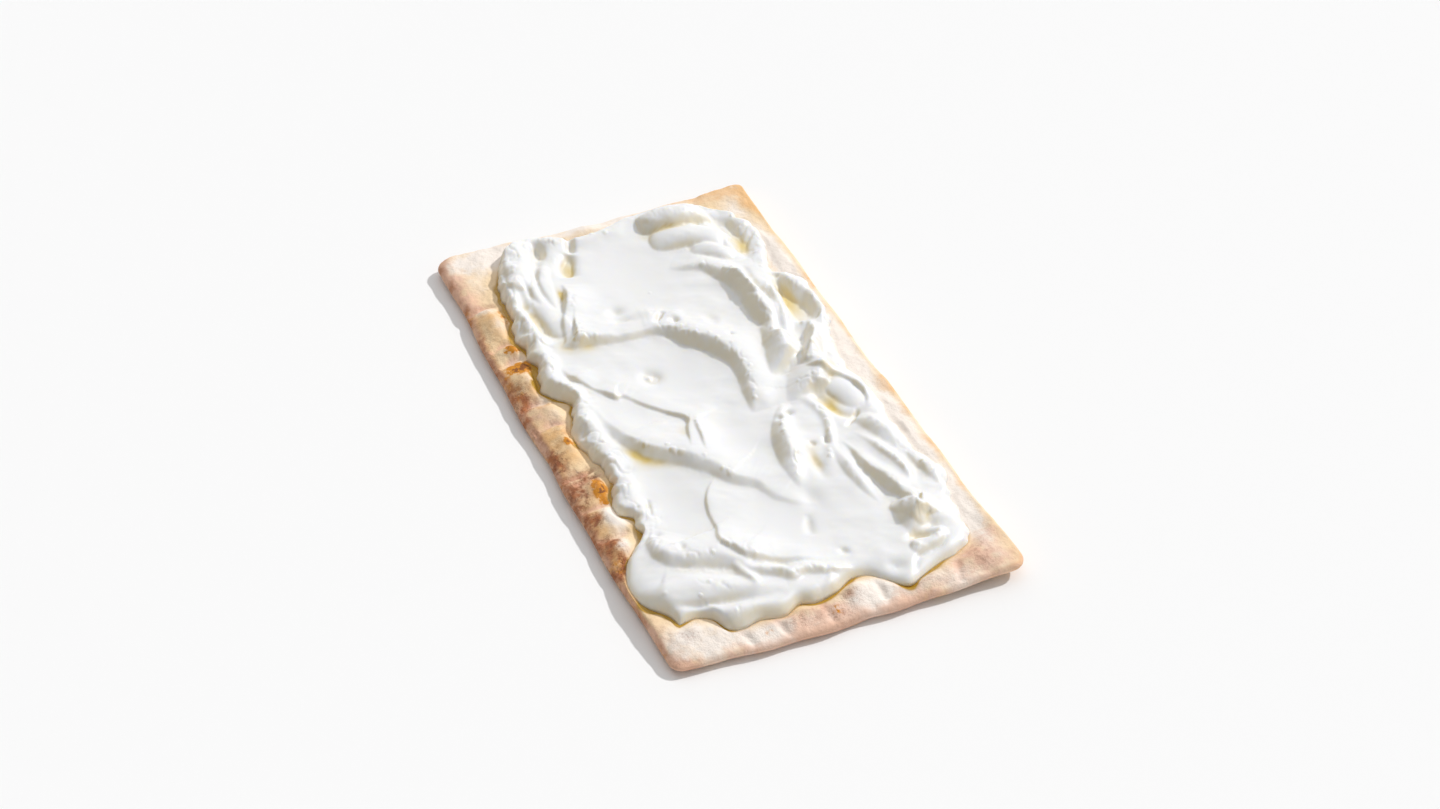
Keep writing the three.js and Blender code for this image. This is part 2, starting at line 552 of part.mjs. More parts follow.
// Top of the bread's rim, between the edge (share 0) and the foot of the labneh (share 1).
function rimHeight(edge, { x, y }, width, share) {
  let rise = RIM_RISE;
  for (const pillow of PILLOWS) rise += hill(pillow, x, y);
  for (const crease of creases) rise += rollHeight(crease, x, y, CREASE_FADE);
  const swell = rise * Math.min(1, width / NARROW_RIM) * (1 - smoothstep(share, RIM_FADE, 1));
  const lift = edgeLift(edge.x, edge.y);
  const distance = share * width;
  const raised = (lift - SIDE_LIFT) * (1 - smoothstep(share, 0, 1));
  const inFront = smoothstep(-y, FRONT_TAPER_START, FRONT_TAPER_FULL);
  const thinner = FRONT_TAPER * inFront * (1 - smoothstep(distance, 0, FRONT_TAPER_REACH));
  const crown = BED_HEIGHT + swell + raised - thinner;
  const round = lerp(EDGE_ROUND, LEFT_EDGE_ROUND, smoothstep(-x, LEFT_ROUND_START, LEFT_ROUND_FULL));
  return lerp(edgeHeight(lift), crown, shoulder(distance, Math.min(round, ROUND_LIMIT * width)));
}

// Collects points and triangles of one closed body.
class Skin {
  positions = [];
  triangles = [];

  point(x, y, z) {
    this.positions.push(x, y, z);
    return this.positions.length / 3 - 1;
  }

  ring(points) {
    return points.map(({ x, y, z }) => this.point(x, y, z));
  }

  // A closed band between two rings, facing up when the second ring lies inside the first.
  band(outer, inner) {
    for (let i = 0; i < outer.length; i += 1) {
      const next = (i + 1) % outer.length;
      this.quad(outer[i], outer[next], inner[next], inner[i]);
    }
  }

  height(index) {
    return this.positions[3 * index + 2];
  }

  // Two triangles, split along the more level diagonal so that ridges stay smooth.
  quad(a, b, c, d) {
    const firstFall = Math.abs(this.height(a) - this.height(c));
    const secondFall = Math.abs(this.height(b) - this.height(d));
    if (firstFall <= secondFall) this.triangles.push(a, b, c, a, c, d);
    else this.triangles.push(a, b, d, b, c, d);
  }

  geometry(middle) {
    const geometry = new THREE.BufferGeometry();
    geometry.setAttribute("position", new THREE.Float32BufferAttribute(this.positions, 3));
    geometry.setIndex(this.triangles);
    geometry.translate(-middle.x, -middle.y, 0);
    geometry.computeVertexNormals();
    return geometry;
  }
}

function breadSkin() {
  const skin = new Skin();
  const edge = stations.map(({ side, t }) => breadPoint(side, t, 0));
  const rimRings = RIM_ROWS.map((share) =>
    skin.ring(
      edge.map((outer, i) => {
        const point = outer.clone().lerp(labnehOutline[i], share);
        const width = outer.distanceTo(labnehOutline[i]);
        return { x: point.x, y: point.y, z: rimHeight(outer, point, width, share) };
      }),
    ),
  );
  for (let row = 0; row + 1 < rimRings.length; row += 1) skin.band(rimRings[row], rimRings[row + 1]);

  const bed = rimRings.at(-1);
  for (const [a, b, c] of THREE.ShapeUtils.triangulateShape(labnehOutline, [])) {
    skin.triangles.push(bed[a], bed[b], bed[c]);
  }

  let outer = rimRings[0];
  for (const inset of UNDER_ROWS) {
    const inner = skin.ring(
      stations.map(({ side, t }, i) => {
        const point = breadPoint(side, t, inset);
        const lift = edgeLift(edge[i].x, edge[i].y);
        const under = underHeight(lift, inset);
        return { x: point.x, y: point.y, z: lerp(edgeHeight(lift), under, shoulder(inset, UNDER_ROUND)) };
      }),
    );
    skin.band(inner, outer);
    outer = inner;
  }
  const centre = skin.point(0, 0, 0);
  for (let i = 0; i < outer.length; i += 1) {
    skin.triangles.push(outer[(i + 1) % outer.length], outer[i], centre);
  }
  return skin;
}

// How far a curve strays, at a share of its length, from the straight line between its ends.
function bend(curve, share) {
  const straight = curve.getPointAt(0).lerp(curve.getPointAt(1), share);
  return curve.getPointAt(share).sub(straight);
}

// A point of the labneh's plan: a grid between its four corners, bent to its sides near them.
function labnehPlan(u, v) {
  const { front, right, back, left } = labnehCurves;
  const near = front.getPointAt(0).lerp(front.getPointAt(1), u);
  const far = back.getPointAt(1).lerp(back.getPointAt(0), u);
  const point = near.lerp(far, v);
  point.addScaledVector(bend(front, u), Math.pow(1 - v, BEND_FADE_ALONG));
  point.addScaledVector(bend(back, 1 - u), Math.pow(v, BEND_FADE_ALONG));
  point.addScaledVector(bend(left, 1 - v), Math.pow(1 - u, BEND_FADE_ACROSS));
  point.addScaledVector(bend(right, v), Math.pow(u, BEND_FADE_ACROSS));
  return point;
}

function labnehSkin() {
  const skin = new Skin();
  const foot = BED_HEIGHT + LAYER_GAP;
  const closedOutline = [...labnehOutline, labnehOutline[0]];
  const rows = [];
  for (let j = 0; j <= ALONG; j += 1) {
    const row = [];
    for (let i = 0; i <= ACROSS; i += 1) {
      const { x, y } = labnehPlan(spacing(i, ACROSS), spacing(j, ALONG));
      const onEdge = i === 0 || j === 0 || i === ACROSS || j === ALONG;
      const inward = onEdge ? 0 : distanceToPath(x, y, closedOutline).distance;
      row.push(skin.point(x, y, foot + shoulder(inward, edgeFall(x, y)) * labnehThickness(x, y)));
    }
    rows.push(row);
  }
  for (let j = 0; j < ALONG; j += 1) {
    const [near, far] = [rows[j], rows[j + 1]];
    for (let i = 0; i < ACROSS; i += 1) skin.quad(near[i], near[i + 1], far[i + 1], far[i]);
  }
  const underside = [
    ...rows[0].slice(0, ACROSS),
    ...rows.slice(0, ALONG).map((row) => row[ACROSS]),
    ...rows[ALONG].slice(1).reverse(),
    ...rows.slice(1).reverse().map((row) => row[0]),
  ];
  for (const [a, b, c] of THREE.ShapeUtils.triangulateShape(labnehOutline, [])) {
    skin.triangles.push(underside[c], underside[b], underside[a]);
  }
  return skin;
}

const outlineBox = new THREE.Box2().setFromPoints(stations.map(({ side, t }) => breadPoint(side, t, 0)));
const middle = outlineBox.getCenter(new THREE.Vector2());

const crust = new THREE.MeshStandardMaterial({ color: 0xdfbd92, roughness: 0.85, metalness: 0 });
const bread = new THREE.Mesh(breadSkin().geometry(middle), crust);
bread.name = "bread";

const cream = new THREE.MeshStandardMaterial({ color: 0xf6f3ea, roughness: 0.5, metalness: 0 });
const labneh = new THREE.Mesh(labnehSkin().geometry(middle), cream);
labneh.name = "labneh";

const manakish = new THREE.Group();
manakish.add(bread, labneh);

export default manakish;
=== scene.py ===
# Labneh manakish: the look of a rectangular flatbread spread with labneh, on a pale floor.
# Shapes are worked out in millimetres in the bread's own plan and placed in metres in the shared frame.
import math

import bpy
import numpy as np
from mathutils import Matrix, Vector


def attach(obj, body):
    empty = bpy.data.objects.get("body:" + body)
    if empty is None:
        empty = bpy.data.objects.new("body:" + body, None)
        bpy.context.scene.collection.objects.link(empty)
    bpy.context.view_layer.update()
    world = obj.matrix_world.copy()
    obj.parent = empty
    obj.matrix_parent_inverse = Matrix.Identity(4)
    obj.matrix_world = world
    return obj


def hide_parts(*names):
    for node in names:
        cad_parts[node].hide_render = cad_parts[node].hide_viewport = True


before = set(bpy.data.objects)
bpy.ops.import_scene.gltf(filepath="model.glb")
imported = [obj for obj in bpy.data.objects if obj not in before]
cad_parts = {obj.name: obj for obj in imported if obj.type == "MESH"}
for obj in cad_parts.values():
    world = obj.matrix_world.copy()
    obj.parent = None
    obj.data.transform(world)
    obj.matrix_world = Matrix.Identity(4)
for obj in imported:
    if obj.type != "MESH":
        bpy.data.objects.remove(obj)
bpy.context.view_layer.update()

METRES = 0.001

# Bread
HALF_WIDTH = 79.7
HALF_LENGTH = 148.7
SIDE_BOW = {"front": 3.4, "right": 0.2, "back": -2.2, "left": 2.6}  # how far each side swells or draws in
RIPPLE = 0.5  # hand-cut waver of the outline
RIPPLE_PACES = (7, 17)  # how fast its two waves run
CORNER_RADIUS = {"front": (5, 6), "right": (6, 4), "back": (4, 7), "left": (7, 5)}  # at each side's ends
BED_HEIGHT = 7  # top of the pressed dough that the labneh lies on
EDGE_ROUND = 2.5  # width of the rounded shoulder above the edge
LEFT_EDGE_ROUND = 7
ROUND_LIMIT = 0.7  # most of the rim's width that the shoulder takes
UNDER_ROUND = 4  # width of the shoulder below the edge
EDGE_SHARE = 0.42  # height of the outermost line, as a share of the edge's thickness
LIFT_REACH = 22  # how far in from the edge the underside leaves the floor
SIDE_LIFT = 0.6  # how high the underside's edge stands along the sides
RIM_RISE = 0.3  # swelling of the rim above the bed, apart from the pillows
RIM_FADE = 0.7  # share of the rim's width from which it falls to the bed
NARROW_RIM = 10  # a rim narrower than this swells less
FRONT_TAPER = 2  # how much thinner the front edge is
FRONT_TAPER_REACH = 14  # how far in from the edge it thins
CREASE_FADE = 0.5  # how late a crease fades towards its ends
# Each corner drawn out of the rectangle: place, reach and shift.
DRAWN_CORNERS = [
    ((80, -150), 26, (1.2, -3)),
    ((-80, 148), 26, (-1.6, 0)),
]
# Each curled corner: place, reach and lift.
CURLED_CORNERS = [
    ((80, -150), 60, 2.6),
    ((-80, -148), 34, 0.2),
    ((-80, 148), 34, 0.6),
    ((80, 149), 34, 1),
]
# Each pillow of the rim: x and y, spread across and along, and rise.
PILLOWS = [
    (0, -147, 70, 9, 0.5),
    (-71, 88, 5.5, 11, 3.2),
    (-70.5, 66, 4, 4, 3.2),
    (-71.5, 42, 5.5, 10, 3.2),
    (-70, 19, 5.5, 5, 2.6),
    (-70.5, -3, 5.5, 10, 3),
    (-69.5, -37, 5.5, 6, 3.2),
    (-71, -57, 5, 7, 2.8),
    (-73, -77, 4.5, 7, 2),
    (-62, -134, 9, 5, 1.8),
    (-20, -141, 9, 4, 1.6),
    (6, -136, 6, 5, 2.8),
    (36, -145, 9, 4, 1.4),
    (63, -139, 9, 6, 1.6),
    (73, 88, 5, 12, 1.2),
    (72, -52, 5, 10, 1.2),
    (-9, 140, 14, 4, 1.6),
]
# Each crease of the rim: path, half width and depth.
CREASES = [
    ([(-83, 100), (-74, 103), (-66, 102)], 2, 2.4),
    ([(-80, 70), (-73, 73), (-67, 71)], 1.8, 1.8),
    ([(-80, 58), (-72, 61), (-66, 60)], 1.8, 2.2),
    ([(-83, 27), (-74, 28), (-68, 26)], 2.6, 2.4),
    ([(-81, 9), (-72, 11), (-65, 9)], 2, 1.6),
    ([(-82, -26), (-72, -25.5), (-62, -23)], 1.2, 2.6),
    ([(-78, -31), (-70, -29.5), (-62, -28)], 1.2, 2),
    ([(-82, -47), (-74, -48), (-66, -46)], 1.8, 1.8),
    ([(-82, -67), (-74, -68), (-66, -66)], 2.2, 2),
    ([(-82, -88), (-78, -89), (-74, -88)], 1.8, 1.4),
    ([(-44, -151), (-45, -145), (-47, -139)], 1.8, 1.2),
    ([(-28, -151), (-30, -145), (-31, -140)], 1.8, 1.2),
    ([(-8, -151), (-9, -144), (-10, -138)], 1.8, 1.4),
    ([(16, -147), (17, -141), (16, -135)], 2, 1.4),
    ([(50, -151), (51, -145), (54, -139)], 2, 1.2),
    ([(-81, 18), (-80.5, 0), (-81, -24)], 0.9, 1),
]
# Each patch of the crust: x and y, spread across and along, and strength.
TOASTED = [
    (-77, -50, 5, 16, 0.8),
    (-76, 5, 7, 16, 0.6),
    (-73, 95, 8, 8, 0.5),
    (-71, 80, 9, 14, 0.5),
    (-73, 40, 9, 12, 0.8),
    (-72, -5, 9, 14, 0.7),
    (-68, -40, 5, 8, 1.1),
    (-77, -78, 7, 16, 0.9),
    (-80, -105, 5, 14, 0.6),
    (40, -146, 16, 6, 0.35),
    (0, -149, 40, 4, 0.6),
    (76, -148, 7, 8, 0.4),
    (64, 146, 22, 8, 1.8),
    (78, 138, 7, 14, 1.2),
    (80, 118, 3, 30, 0.7),
    (79, 62, 4, 6, 2),
    (79, 20, 3, 8, 2),
    (78, -22, 4, 7, 1.6),
    (77, -40, 4, 6, 1),
    (75, -68, 5, 8, 1.2),
    (77, -95, 4, 6, 2),
    (74, -120, 4, 6, 1),
]
PINKISH = [
    (-80, 132, 9, 22, 1.1),
    (-76, 108, 9, 10, 0.5),
    (-76, 20, 8, 8, 0.6),
    (-76, -34, 7, 9, 0.7),
    (-78, -135, 6, 18, 0.6),
    (-22, -149, 26, 7, 0.8),
    (0, -148, 90, 8, 0.8),
    (8, -150, 20, 5, 0.9),
    (63, -140, 10, 8, 1.1),
    (71, -130, 6, 5, 1),
    (72, -128, 6, 20, 0.3),
    (-2, 144, 10, 4, 0.4),
]
FLOURY = [
    (-60, 138, 16, 9, 1.6),
    (-70, 124, 6, 12, 0.4),
    (-72, 99, 5, 4, 0.7),
    (-70, 60, 5, 4, 0.7),
    (-70, 28, 6, 4, 0.6),
    (-70, 14, 5, 5, 0.5),
    (-69, -57, 4.5, 8, 1.3),
    (-72, -76, 4, 6, 0.9),
    (-70, 86, 4, 8, 0.5),
    (-70, 43, 4, 8, 0.4),
    (-64, -138, 14, 10, 1.5),
    (-40, -146, 12, 5, 0.5),
    (14, -142, 12, 8, 1.1),
    (52, -150, 10, 5, 0.5),
    (-30, -146, 42, 6, 0.4),
    (40, -144, 24, 6, 0.4),
    (70, 50, 6, 60, 1.6),
    (71, -70, 6, 60, 1.6),
    (0, 144, 50, 7, 0.9),
    (66, 128, 6, 8, 0.5),
    (70, 92, 6, 18, 0.6),
    (69, 10, 5, 12, 0.4),
    (70, -115, 5, 12, 0.5),
]
BURNT = [
    (-71, 67, 3, 2.6, 3.4),
    (-71.5, 53, 5, 3.6, 5),
    (-68.5, -40, 2.6, 6, 3.4),
    (-70, -5, 2.2, 2.2, 2.4),
    (-66, 92, 3, 8, 0.6),
    (-67, 40, 3, 12, 0.6),
    (-78, 36, 3, 10, 0.4),
    (-72, 24, 6, 3, 0.4),
    (-76.5, -86, 4, 5, 0.6),
    (-36, -146, 2.4, 2.4, 0.5),
    (-5, -145, 2.5, 2.5, 0.8),
    (6, -134, 4, 3, 0.4),
    (78, 61, 1.6, 8, 0.35),
]
SPECKLED = [
    (-78, -39, 4, 6, 1.9),
    (-77.5, -55, 3.6, 5, 1.8),
    (-76.5, -72, 4, 5, 1.8),
    (-76.5, -86, 5, 7, 1.8),
    (-79, 30, 4, 8, 1.2),
    (-78, -14, 4, 8, 1.2),
    (-70, -30, 5, 6, 0.8),
    (-70, 6, 5, 8, 0.6),
    (-83, 60, 6, 80, 0.3),
    (-83, -60, 6, 80, 0.4),
    (-72, -30, 8, 8, 0.5),
    (-76, 38, 6, 8, 0.5),
    (-22, -145, 5, 4, 0.6),
    (-12, -144, 4, 4, 0.6),
    (3, -140, 5, 5, 0.7),
    (-4, -148, 5, 4, 0.6),
    (64, -140, 9, 7, 0.4),
    (-68, -136, 5, 4, 0.5),
    (36, -145, 6, 4, 0.5),
]
OILED = [
    (-64, 118, 4, 11, 1),
    (-66, 95, 4, 9, 0.9),
    (-68, 72, 3.5, 12, 0.9),
    (-70, 40, 4, 13, 1.2),
    (-66, 24, 4, 5, 0.8),
    (-61, 16, 4, 3, 0.7),
    (-69, -6, 3, 4, 0.9),
    (-66, -42, 3, 10, 0.8),
    (-66, -66, 4, 6, 1.1),
    (-74, -88, 3.5, 8, 0.7),
    (-78, -114, 5, 7, 1.2),
    (-70, -125, 5, 5, 1.2),
    (-52, -136, 4, 5, 0.7),
    (-8, -138, 9, 3, 0.7),
    (5, -133, 5, 3, 0.8),
    (28, -145, 5, 4, 1.1),
    (42, -139, 8, 3, 0.7),
]

# Labneh
BODY = 4.4  # thickness of the spread without spoon marks
EDGE_FALL = 2.2  # width of the spread's rounded edge
FRONT_FALL = 5
LOWEST = 0.9  # thinnest that a spoon mark leaves the spread
FOOT_SINK = 0.4  # how deep its foot sinks into the bed
LABNEH_SIDES = {
    "front": [
        (-68.6, -128.5), (-60.5, -127.5), (-54.5, -131), (-51, -138.5), (-45, -140.4), (-36.5, -139),
        (-26.5, -140.6), (-18.5, -137), (-11.5, -138.7), (-1.5, -136.5), (7.5, -131.8), (15, -132.2),
        (20.5, -137), (28.4, -144.2), (36, -141.5), (46, -137.5), (56, -134.8), (63.5, -130.5),
    ],
    "right": [
        (63.5, -130.5), (67, -124), (68, -113), (70, -99), (73.5, -90), (73, -80), (69, -68), (69, -55),
        (68.5, -44), (70, -28), (67, -8), (66.5, 3), (70, 21), (74.5, 32), (76, 48), (74, 66), (65.5, 76),
        (70, 98), (70.5, 112), (62, 127),
    ],
    "back": [
        (62, 127), (53, 136), (43, 142), (30, 143.5), (17, 142), (5, 139), (-7, 135.5), (-18, 136.5),
        (-27, 141), (-36, 144), (-45, 141.5), (-52.5, 134.5),
    ],
    "left": [
        (-52.5, 134.5), (-57.5, 124), (-61, 114), (-63.5, 105), (-63, 99), (-64, 88), (-67, 78), (-65.5, 63),
        (-66, 52), (-68.5, 34), (-64.5, 26.5), (-60, 20.5), (-61.5, 14.5), (-65.5, 5), (-66.5, -5),
        (-65.5, -13), (-62.5, -24), (-62.5, -36), (-66.5, -48), (-66.5, -57), (-61.5, -63.5), (-65.5, -75),
        (-74.5, -85), (-79.5, -97), (-79.5, -107), (-77, -114), (-71, -121.5), (-68.6, -128.5),
    ],
}
RAMP_SHARE = 0.15  # part of a ledge's rise that its ramp takes
END_SHARE = 0.25  # run of a wall at the ends of its ledge, as a share of the run in full
# Each spoon ledge: the foot of its wall, the rises along it, the run of the wall, how far the slope behind
# it and the ramp before it reach, and how round the wall's crest is. It is high on the left of its path.
LEDGES = {
    "right scoop": ([
        (18, 93), (25, 88), (32, 83.5), (35, 75), (38, 65), (39, 55), (38.5, 45), (39, 36), (41, 28),
        (45, 21),
    ], (0, 1.8, 3, 5.8, 8.2, 8.4, 7.8, 6.4, 3.4, 0), 7, 8, 3, 1.15),
    "middle arc": ([
        (-51, 55.5), (-45, 52), (-36, 50.5), (-22, 49), (-10, 48), (-2.5, 43), (2.5, 36.5), (7.5, 30.5),
        (12, 24.5), (15, 17), (15.5, 9), (14.5, 0), (12, -8), (12, -20),
    ], (0, 5.4, 4, 2.8, 2.8, 4.4, 6, 6, 5.4, 4.8, 4.6, 3.6, 0), 5.2, 13, 2.5, 1.2),
    "left step": ([
        (-55, 24), (-54, 6), (-52.5, -10), (-50.5, -19), (-43.5, -31.5), (-31, -41), (-25, -48), (-19, -56),
        (-16.5, -60), (-12, -63.5), (-7.5, -66.5), (-4.5, -71), (-2, -77), (4, -82), (14, -86),
    ], (0, 0.5, 1, 2.8, 4.4, 4.6, 4.6, 4.6, 4, 2.8, 1.6, 0.8, 0), 5.5, 15, 1.2, 1.15),
    "left crease": ([
        (-21, -54), (-27, -60), (-31, -66), (-33, -74), (-33.5, -83), (-36, -91), (-36.5, -98), (-33, -104),
        (-30, -110),
    ], (0, 0.9, 1.3, 1.2, 1.3, 1.6, 2.2, 1.8, 0), 1, 12, 1.4, 1.3),
    "upper front step": ([
        (-38, -95), (-34.5, -104), (-30, -109), (-21, -113.5), (-13, -116.5), (-4, -120), (8, -122),
    ], (0, 1.6, 2.8, 3, 2.2, 1, 0), 2.6, 12, 1.6, 1.3),
    "lower front step": ([
        (-32, -113), (-29, -119), (-21, -125.5), (-16, -127), (-10, -125.5), (-1, -129), (10, -129),
    ], (0, 3.2, 4.2, 4, 3, 2, 0), 3.4, 5, 2, 1.3),
    "front left step": ([
        (-58, -73), (-64.5, -82), (-65.5, -92), (-57, -100), (-46, -106.5), (-39, -110.5), (-35, -114),
        (-31, -122),
    ], (0, 2.6, 3.8, 4.2, 4.8, 5.2, 3.6, 0), 6, 15, 1.5, 1.5),
    "centre crease": ([
        (-56, 41), (-53.5, 31), (-47, 21.5), (-41.5, 11.5), (-36.5, 11.5), (-29.5, 1), (-23.5, -6.5),
        (-18.5, -14), (-21, -22), (-23.5, -35),
    ], (0, 2.4, 0.8, 2.6, 0.9, 1.6, 1.6, 2.2, 2, 0), 1.2, 10, 1.4, 1.3),
    "centre line": ([(-14.5, -14), (-17, -21), (-18, -30), (-18.5, -39)], (0, 1.6, 1.6, 0), 1, 6, 1.5, 1.3),
    "faint line": ([(-18, -18), (-10, -14.5), (0, -13)], (0, 0.7, 0.6, 0), 1, 6, 1.5, 1.3),
    "left fold": ([
        (-33.5, 101), (-38.5, 86), (-42.5, 76), (-46.5, 66), (-49, 56),
    ], (0, 4, 2.8, 2.4, 0), 2.6, 9, 1.5, 1.3),
    "soft hollow": ([(37.5, 34), (35, 22), (32.5, 11), (30, -2)], (0, 8.5, 8.5, 0), 9, 5, 3, 1.5),
    "slant shade": ([(61.5, 28), (54, 16), (47.5, 6.5), (43, -2)], (0, 7.6, 7.6, 0), 3.6, 5, 1, 1.2),
    "soft slope": ([(49, 14), (40, 1), (34, -9), (29, -20)], (0, 6.5, 6.5, 0), 13, 6, 3, 1.5),
    "pocket lip": ([(72, 37), (67, 30.5), (61, 30), (56, 33.5)], (0, 2.6, 2.6, 0), 1.6, 5, 1, 1.2),
    "ring": ([
        (44, -5), (51, -11), (57, -16.5), (61.5, -23), (62.5, -31), (60, -38),
    ], (0, 3.2, 3.4, 2.4, 1.8, 0), 2, 4, 2, 1.3),
    "centre shade": ([
        (25, -19), (19, -27), (12.5, -39), (9.5, -51), (8.5, -64), (10, -74),
    ], (0, 2.4, 4.6, 5.6, 4.8, 2.4, 0), 6.5, 5, 3, 1.3),
    "lower right one": ([(36, -54), (32, -66), (32.5, -80), (38, -96)], (0, 2.4, 2.4, 0), 3.4, 4, 3, 1.3),
    "lower right two": ([
        (40.5, -54), (40, -64), (40.5, -74), (43, -84), (45.5, -93), (49, -102),
    ], (0, 2.4, 4, 4.6, 4.6, 0), 2.6, 5, 1.5, 1.3),
    "lower right slope": ([
        (43, -50), (43, -65), (45, -80), (49, -92), (55, -100),
    ], (0, 2.2, 2.8, 2.6, 0), 10, 4, 2, 1.3),
    "lower right three": ([
        (46, -50), (49, -59), (51.5, -70), (54, -82), (57, -92),
    ], (0, 1.2, 1.6, 1.6, 0), 2.6, 4, 1.5, 1.3),
    "lower right four": ([(49, -39), (52, -50), (56, -60), (60, -70)], (0, 3.4, 3.2, 0), 6, 5, 2, 1.5),
    "right edge": ([(61.5, -71), (63, -82), (66.5, -96)], (0, 2.6, 0), 3, 4, 3, 1.3),
    "broken face": ([
        (50, -92), (45, -99), (41, -106), (39.5, -112), (41, -119),
    ], (0, 6, 7.4, 6, 0), 9, 6, 2, 1.2),
    "front face": ([
        (-81, -113), (-73, -119.5), (-61, -123), (-51, -126), (-43, -128.5), (-33, -130.5), (-21, -132.5),
    ], (0, 2.2, 2.4, 2.2, 1.6, 0), 7, 10, 2, 1.6),
    "front shade": ([(-1, -128), (-6, -134), (-10, -140)], (0, 2.8, 2.2), 4, 5, 3, 1.3),
}
# Each log of labneh folded onto the rest, half round across: path, half width and height over the bed.
LOGS = {
    "back log": ([(17, 130), (27, 128.5), (38, 127), (52, 128)], 9.8, 12.2),
    "second log": ([(18, 117.5), (26, 115), (35, 112.5), (43, 108.5), (52, 101)], 10, 8.8),
    "third log": ([(32, 102), (42, 97), (53, 90)], 8, 7.6),
    "ring log": ([(45, -1), (54, -18), (61, -36)], 8.6, 6.4),
}
LOG_END_HEIGHT = 0.3  # height at the ends of a log, as a share of that in full
LOG_END_WIDTH = 0.8  # and its width there
# Each half-round swell of the surface: path, half width and rise.
SWELLS = {
    "petal": ([(-40, 112), (-44, 98), (-47, 84), (-46, 68)], 5.6, 1),
    "back petal": ([(-44, 134), (-48, 122), (-51, 108)], 6.5, 1.2),
    "broken log": ([(44, -103), (48, -112)], 4, 1.6),
    "front right log": ([(43, -128), (52, -123)], 5, 1.6),
}
ROLL_FADE = 0.7  # how late a roll or groove fades towards its ends
# Each roll, or groove where it is negative: path, half width and rise.
ROLLS = {
    "left border": ([
        (-45, 133), (-52, 120), (-57, 103), (-58, 84), (-60, 66), (-60, 48), (-61, 32), (-56, 18), (-59, 2),
        (-58, -16), (-57, -36), (-59, -54), (-57, -72),
    ], 4.5, 2.8),
    "back border": ([
        (-58, 127), (-50, 136), (-38, 138), (-26, 134), (-12, 130), (2, 132), (14, 136), (28, 137),
    ], 4, 2),
    "front right crease": ([(32.5, -140), (38.5, -134), (50.5, -129.5), (56.5, -123)], 1.4, -1.8),
    "white fold": ([(-37, -109), (-33.5, -117), (-31, -125)], 1.6, 2),
    "front roll": ([(-74, -98), (-67, -110), (-52, -116), (-36, -122), (-15, -130), (8, -133)], 7, 1.8),
    "front foot roll": ([(-64, -126), (-50, -133), (-36, -135.5), (-22, -137), (-8, -135)], 4, 2.2),
    "front fold line": ([(-70, -119.5), (-59, -123.5), (-47, -127), (-36, -130.5)], 1.6, -1.2),
    "valley ridge": ([(57, 66), (54, 44), (51, 27), (45, 12)], 2.6, 3),
    "pocket ridge": ([(63, 72), (68, 58), (72, 42), (73, 32)], 3.2, 2.6),
    "right valley": ([(50.5, 80), (50, 64), (52, 43)], 2.4, -4.4),
    "golden pocket": ([(61.5, 66), (61, 52), (60, 42), (59, 28)], 2.6, -4.6),
    "fold crest": ([(44, 117), (50, 112), (52.5, 105), (53.5, 97), (54, 86)], 2.4, 1.4),
    "back hollow": ([(52, 126), (56.5, 112), (58.5, 100), (56, 84)], 4, -5.4),
    "ridge slit": ([(59, 96), (68, 105)], 1, -1.6),
    "upper ridge slit": ([(61, 105), (71, 113)], 1, -1.4),
    "leaf hollow": ([(-33.5, 138), (-36, 130), (-40, 121), (-45, 112), (-49, 102)], 3.4, -3),
    "triangle hollow": ([(-21.5, 122), (-26, 114.5), (-27.5, 105)], 3.2, -4.6),
    "narrow hollow": ([(-17, 136), (-18.5, 129), (-20.5, 122)], 2, -3.4),
    "petal crease": ([(-42, 116), (-44.5, 104), (-45, 92), (-44, 82)], 1.3, -1.4),
    "petal back crease": ([(-51, 112), (-50.5, 100), (-49, 88)], 1.2, -1.2),
    "left groove": ([(-54, 106), (-55.5, 92), (-55, 78), (-50.5, 60)], 2.8, -3),
    "ring hollow": ([(43.5, -14), (44.5, -25), (47.5, -34), (53, -39), (60, -38)], 2.6, -1.6),
    "swirl ridge": ([(30, -23), (37, -23), (40, -31), (39, -41), (35.5, -54), (28, -66)], 2.2, 1.8),
    "ring crack": ([(46, -46), (52, -41), (57, -36)], 1, -1.8),
    "streak dent": ([(8, -89), (2.5, -103)], 2, -1.1),
    "arc slit": ([(-5, 54), (2, 63)], 1.2, -2.4),
    "orange slit": ([(54, -98), (52, -104), (50, -111)], 1.2, -3),
    "trough slit": ([(-56, -66), (-53, -55)], 1, -1.6),
}
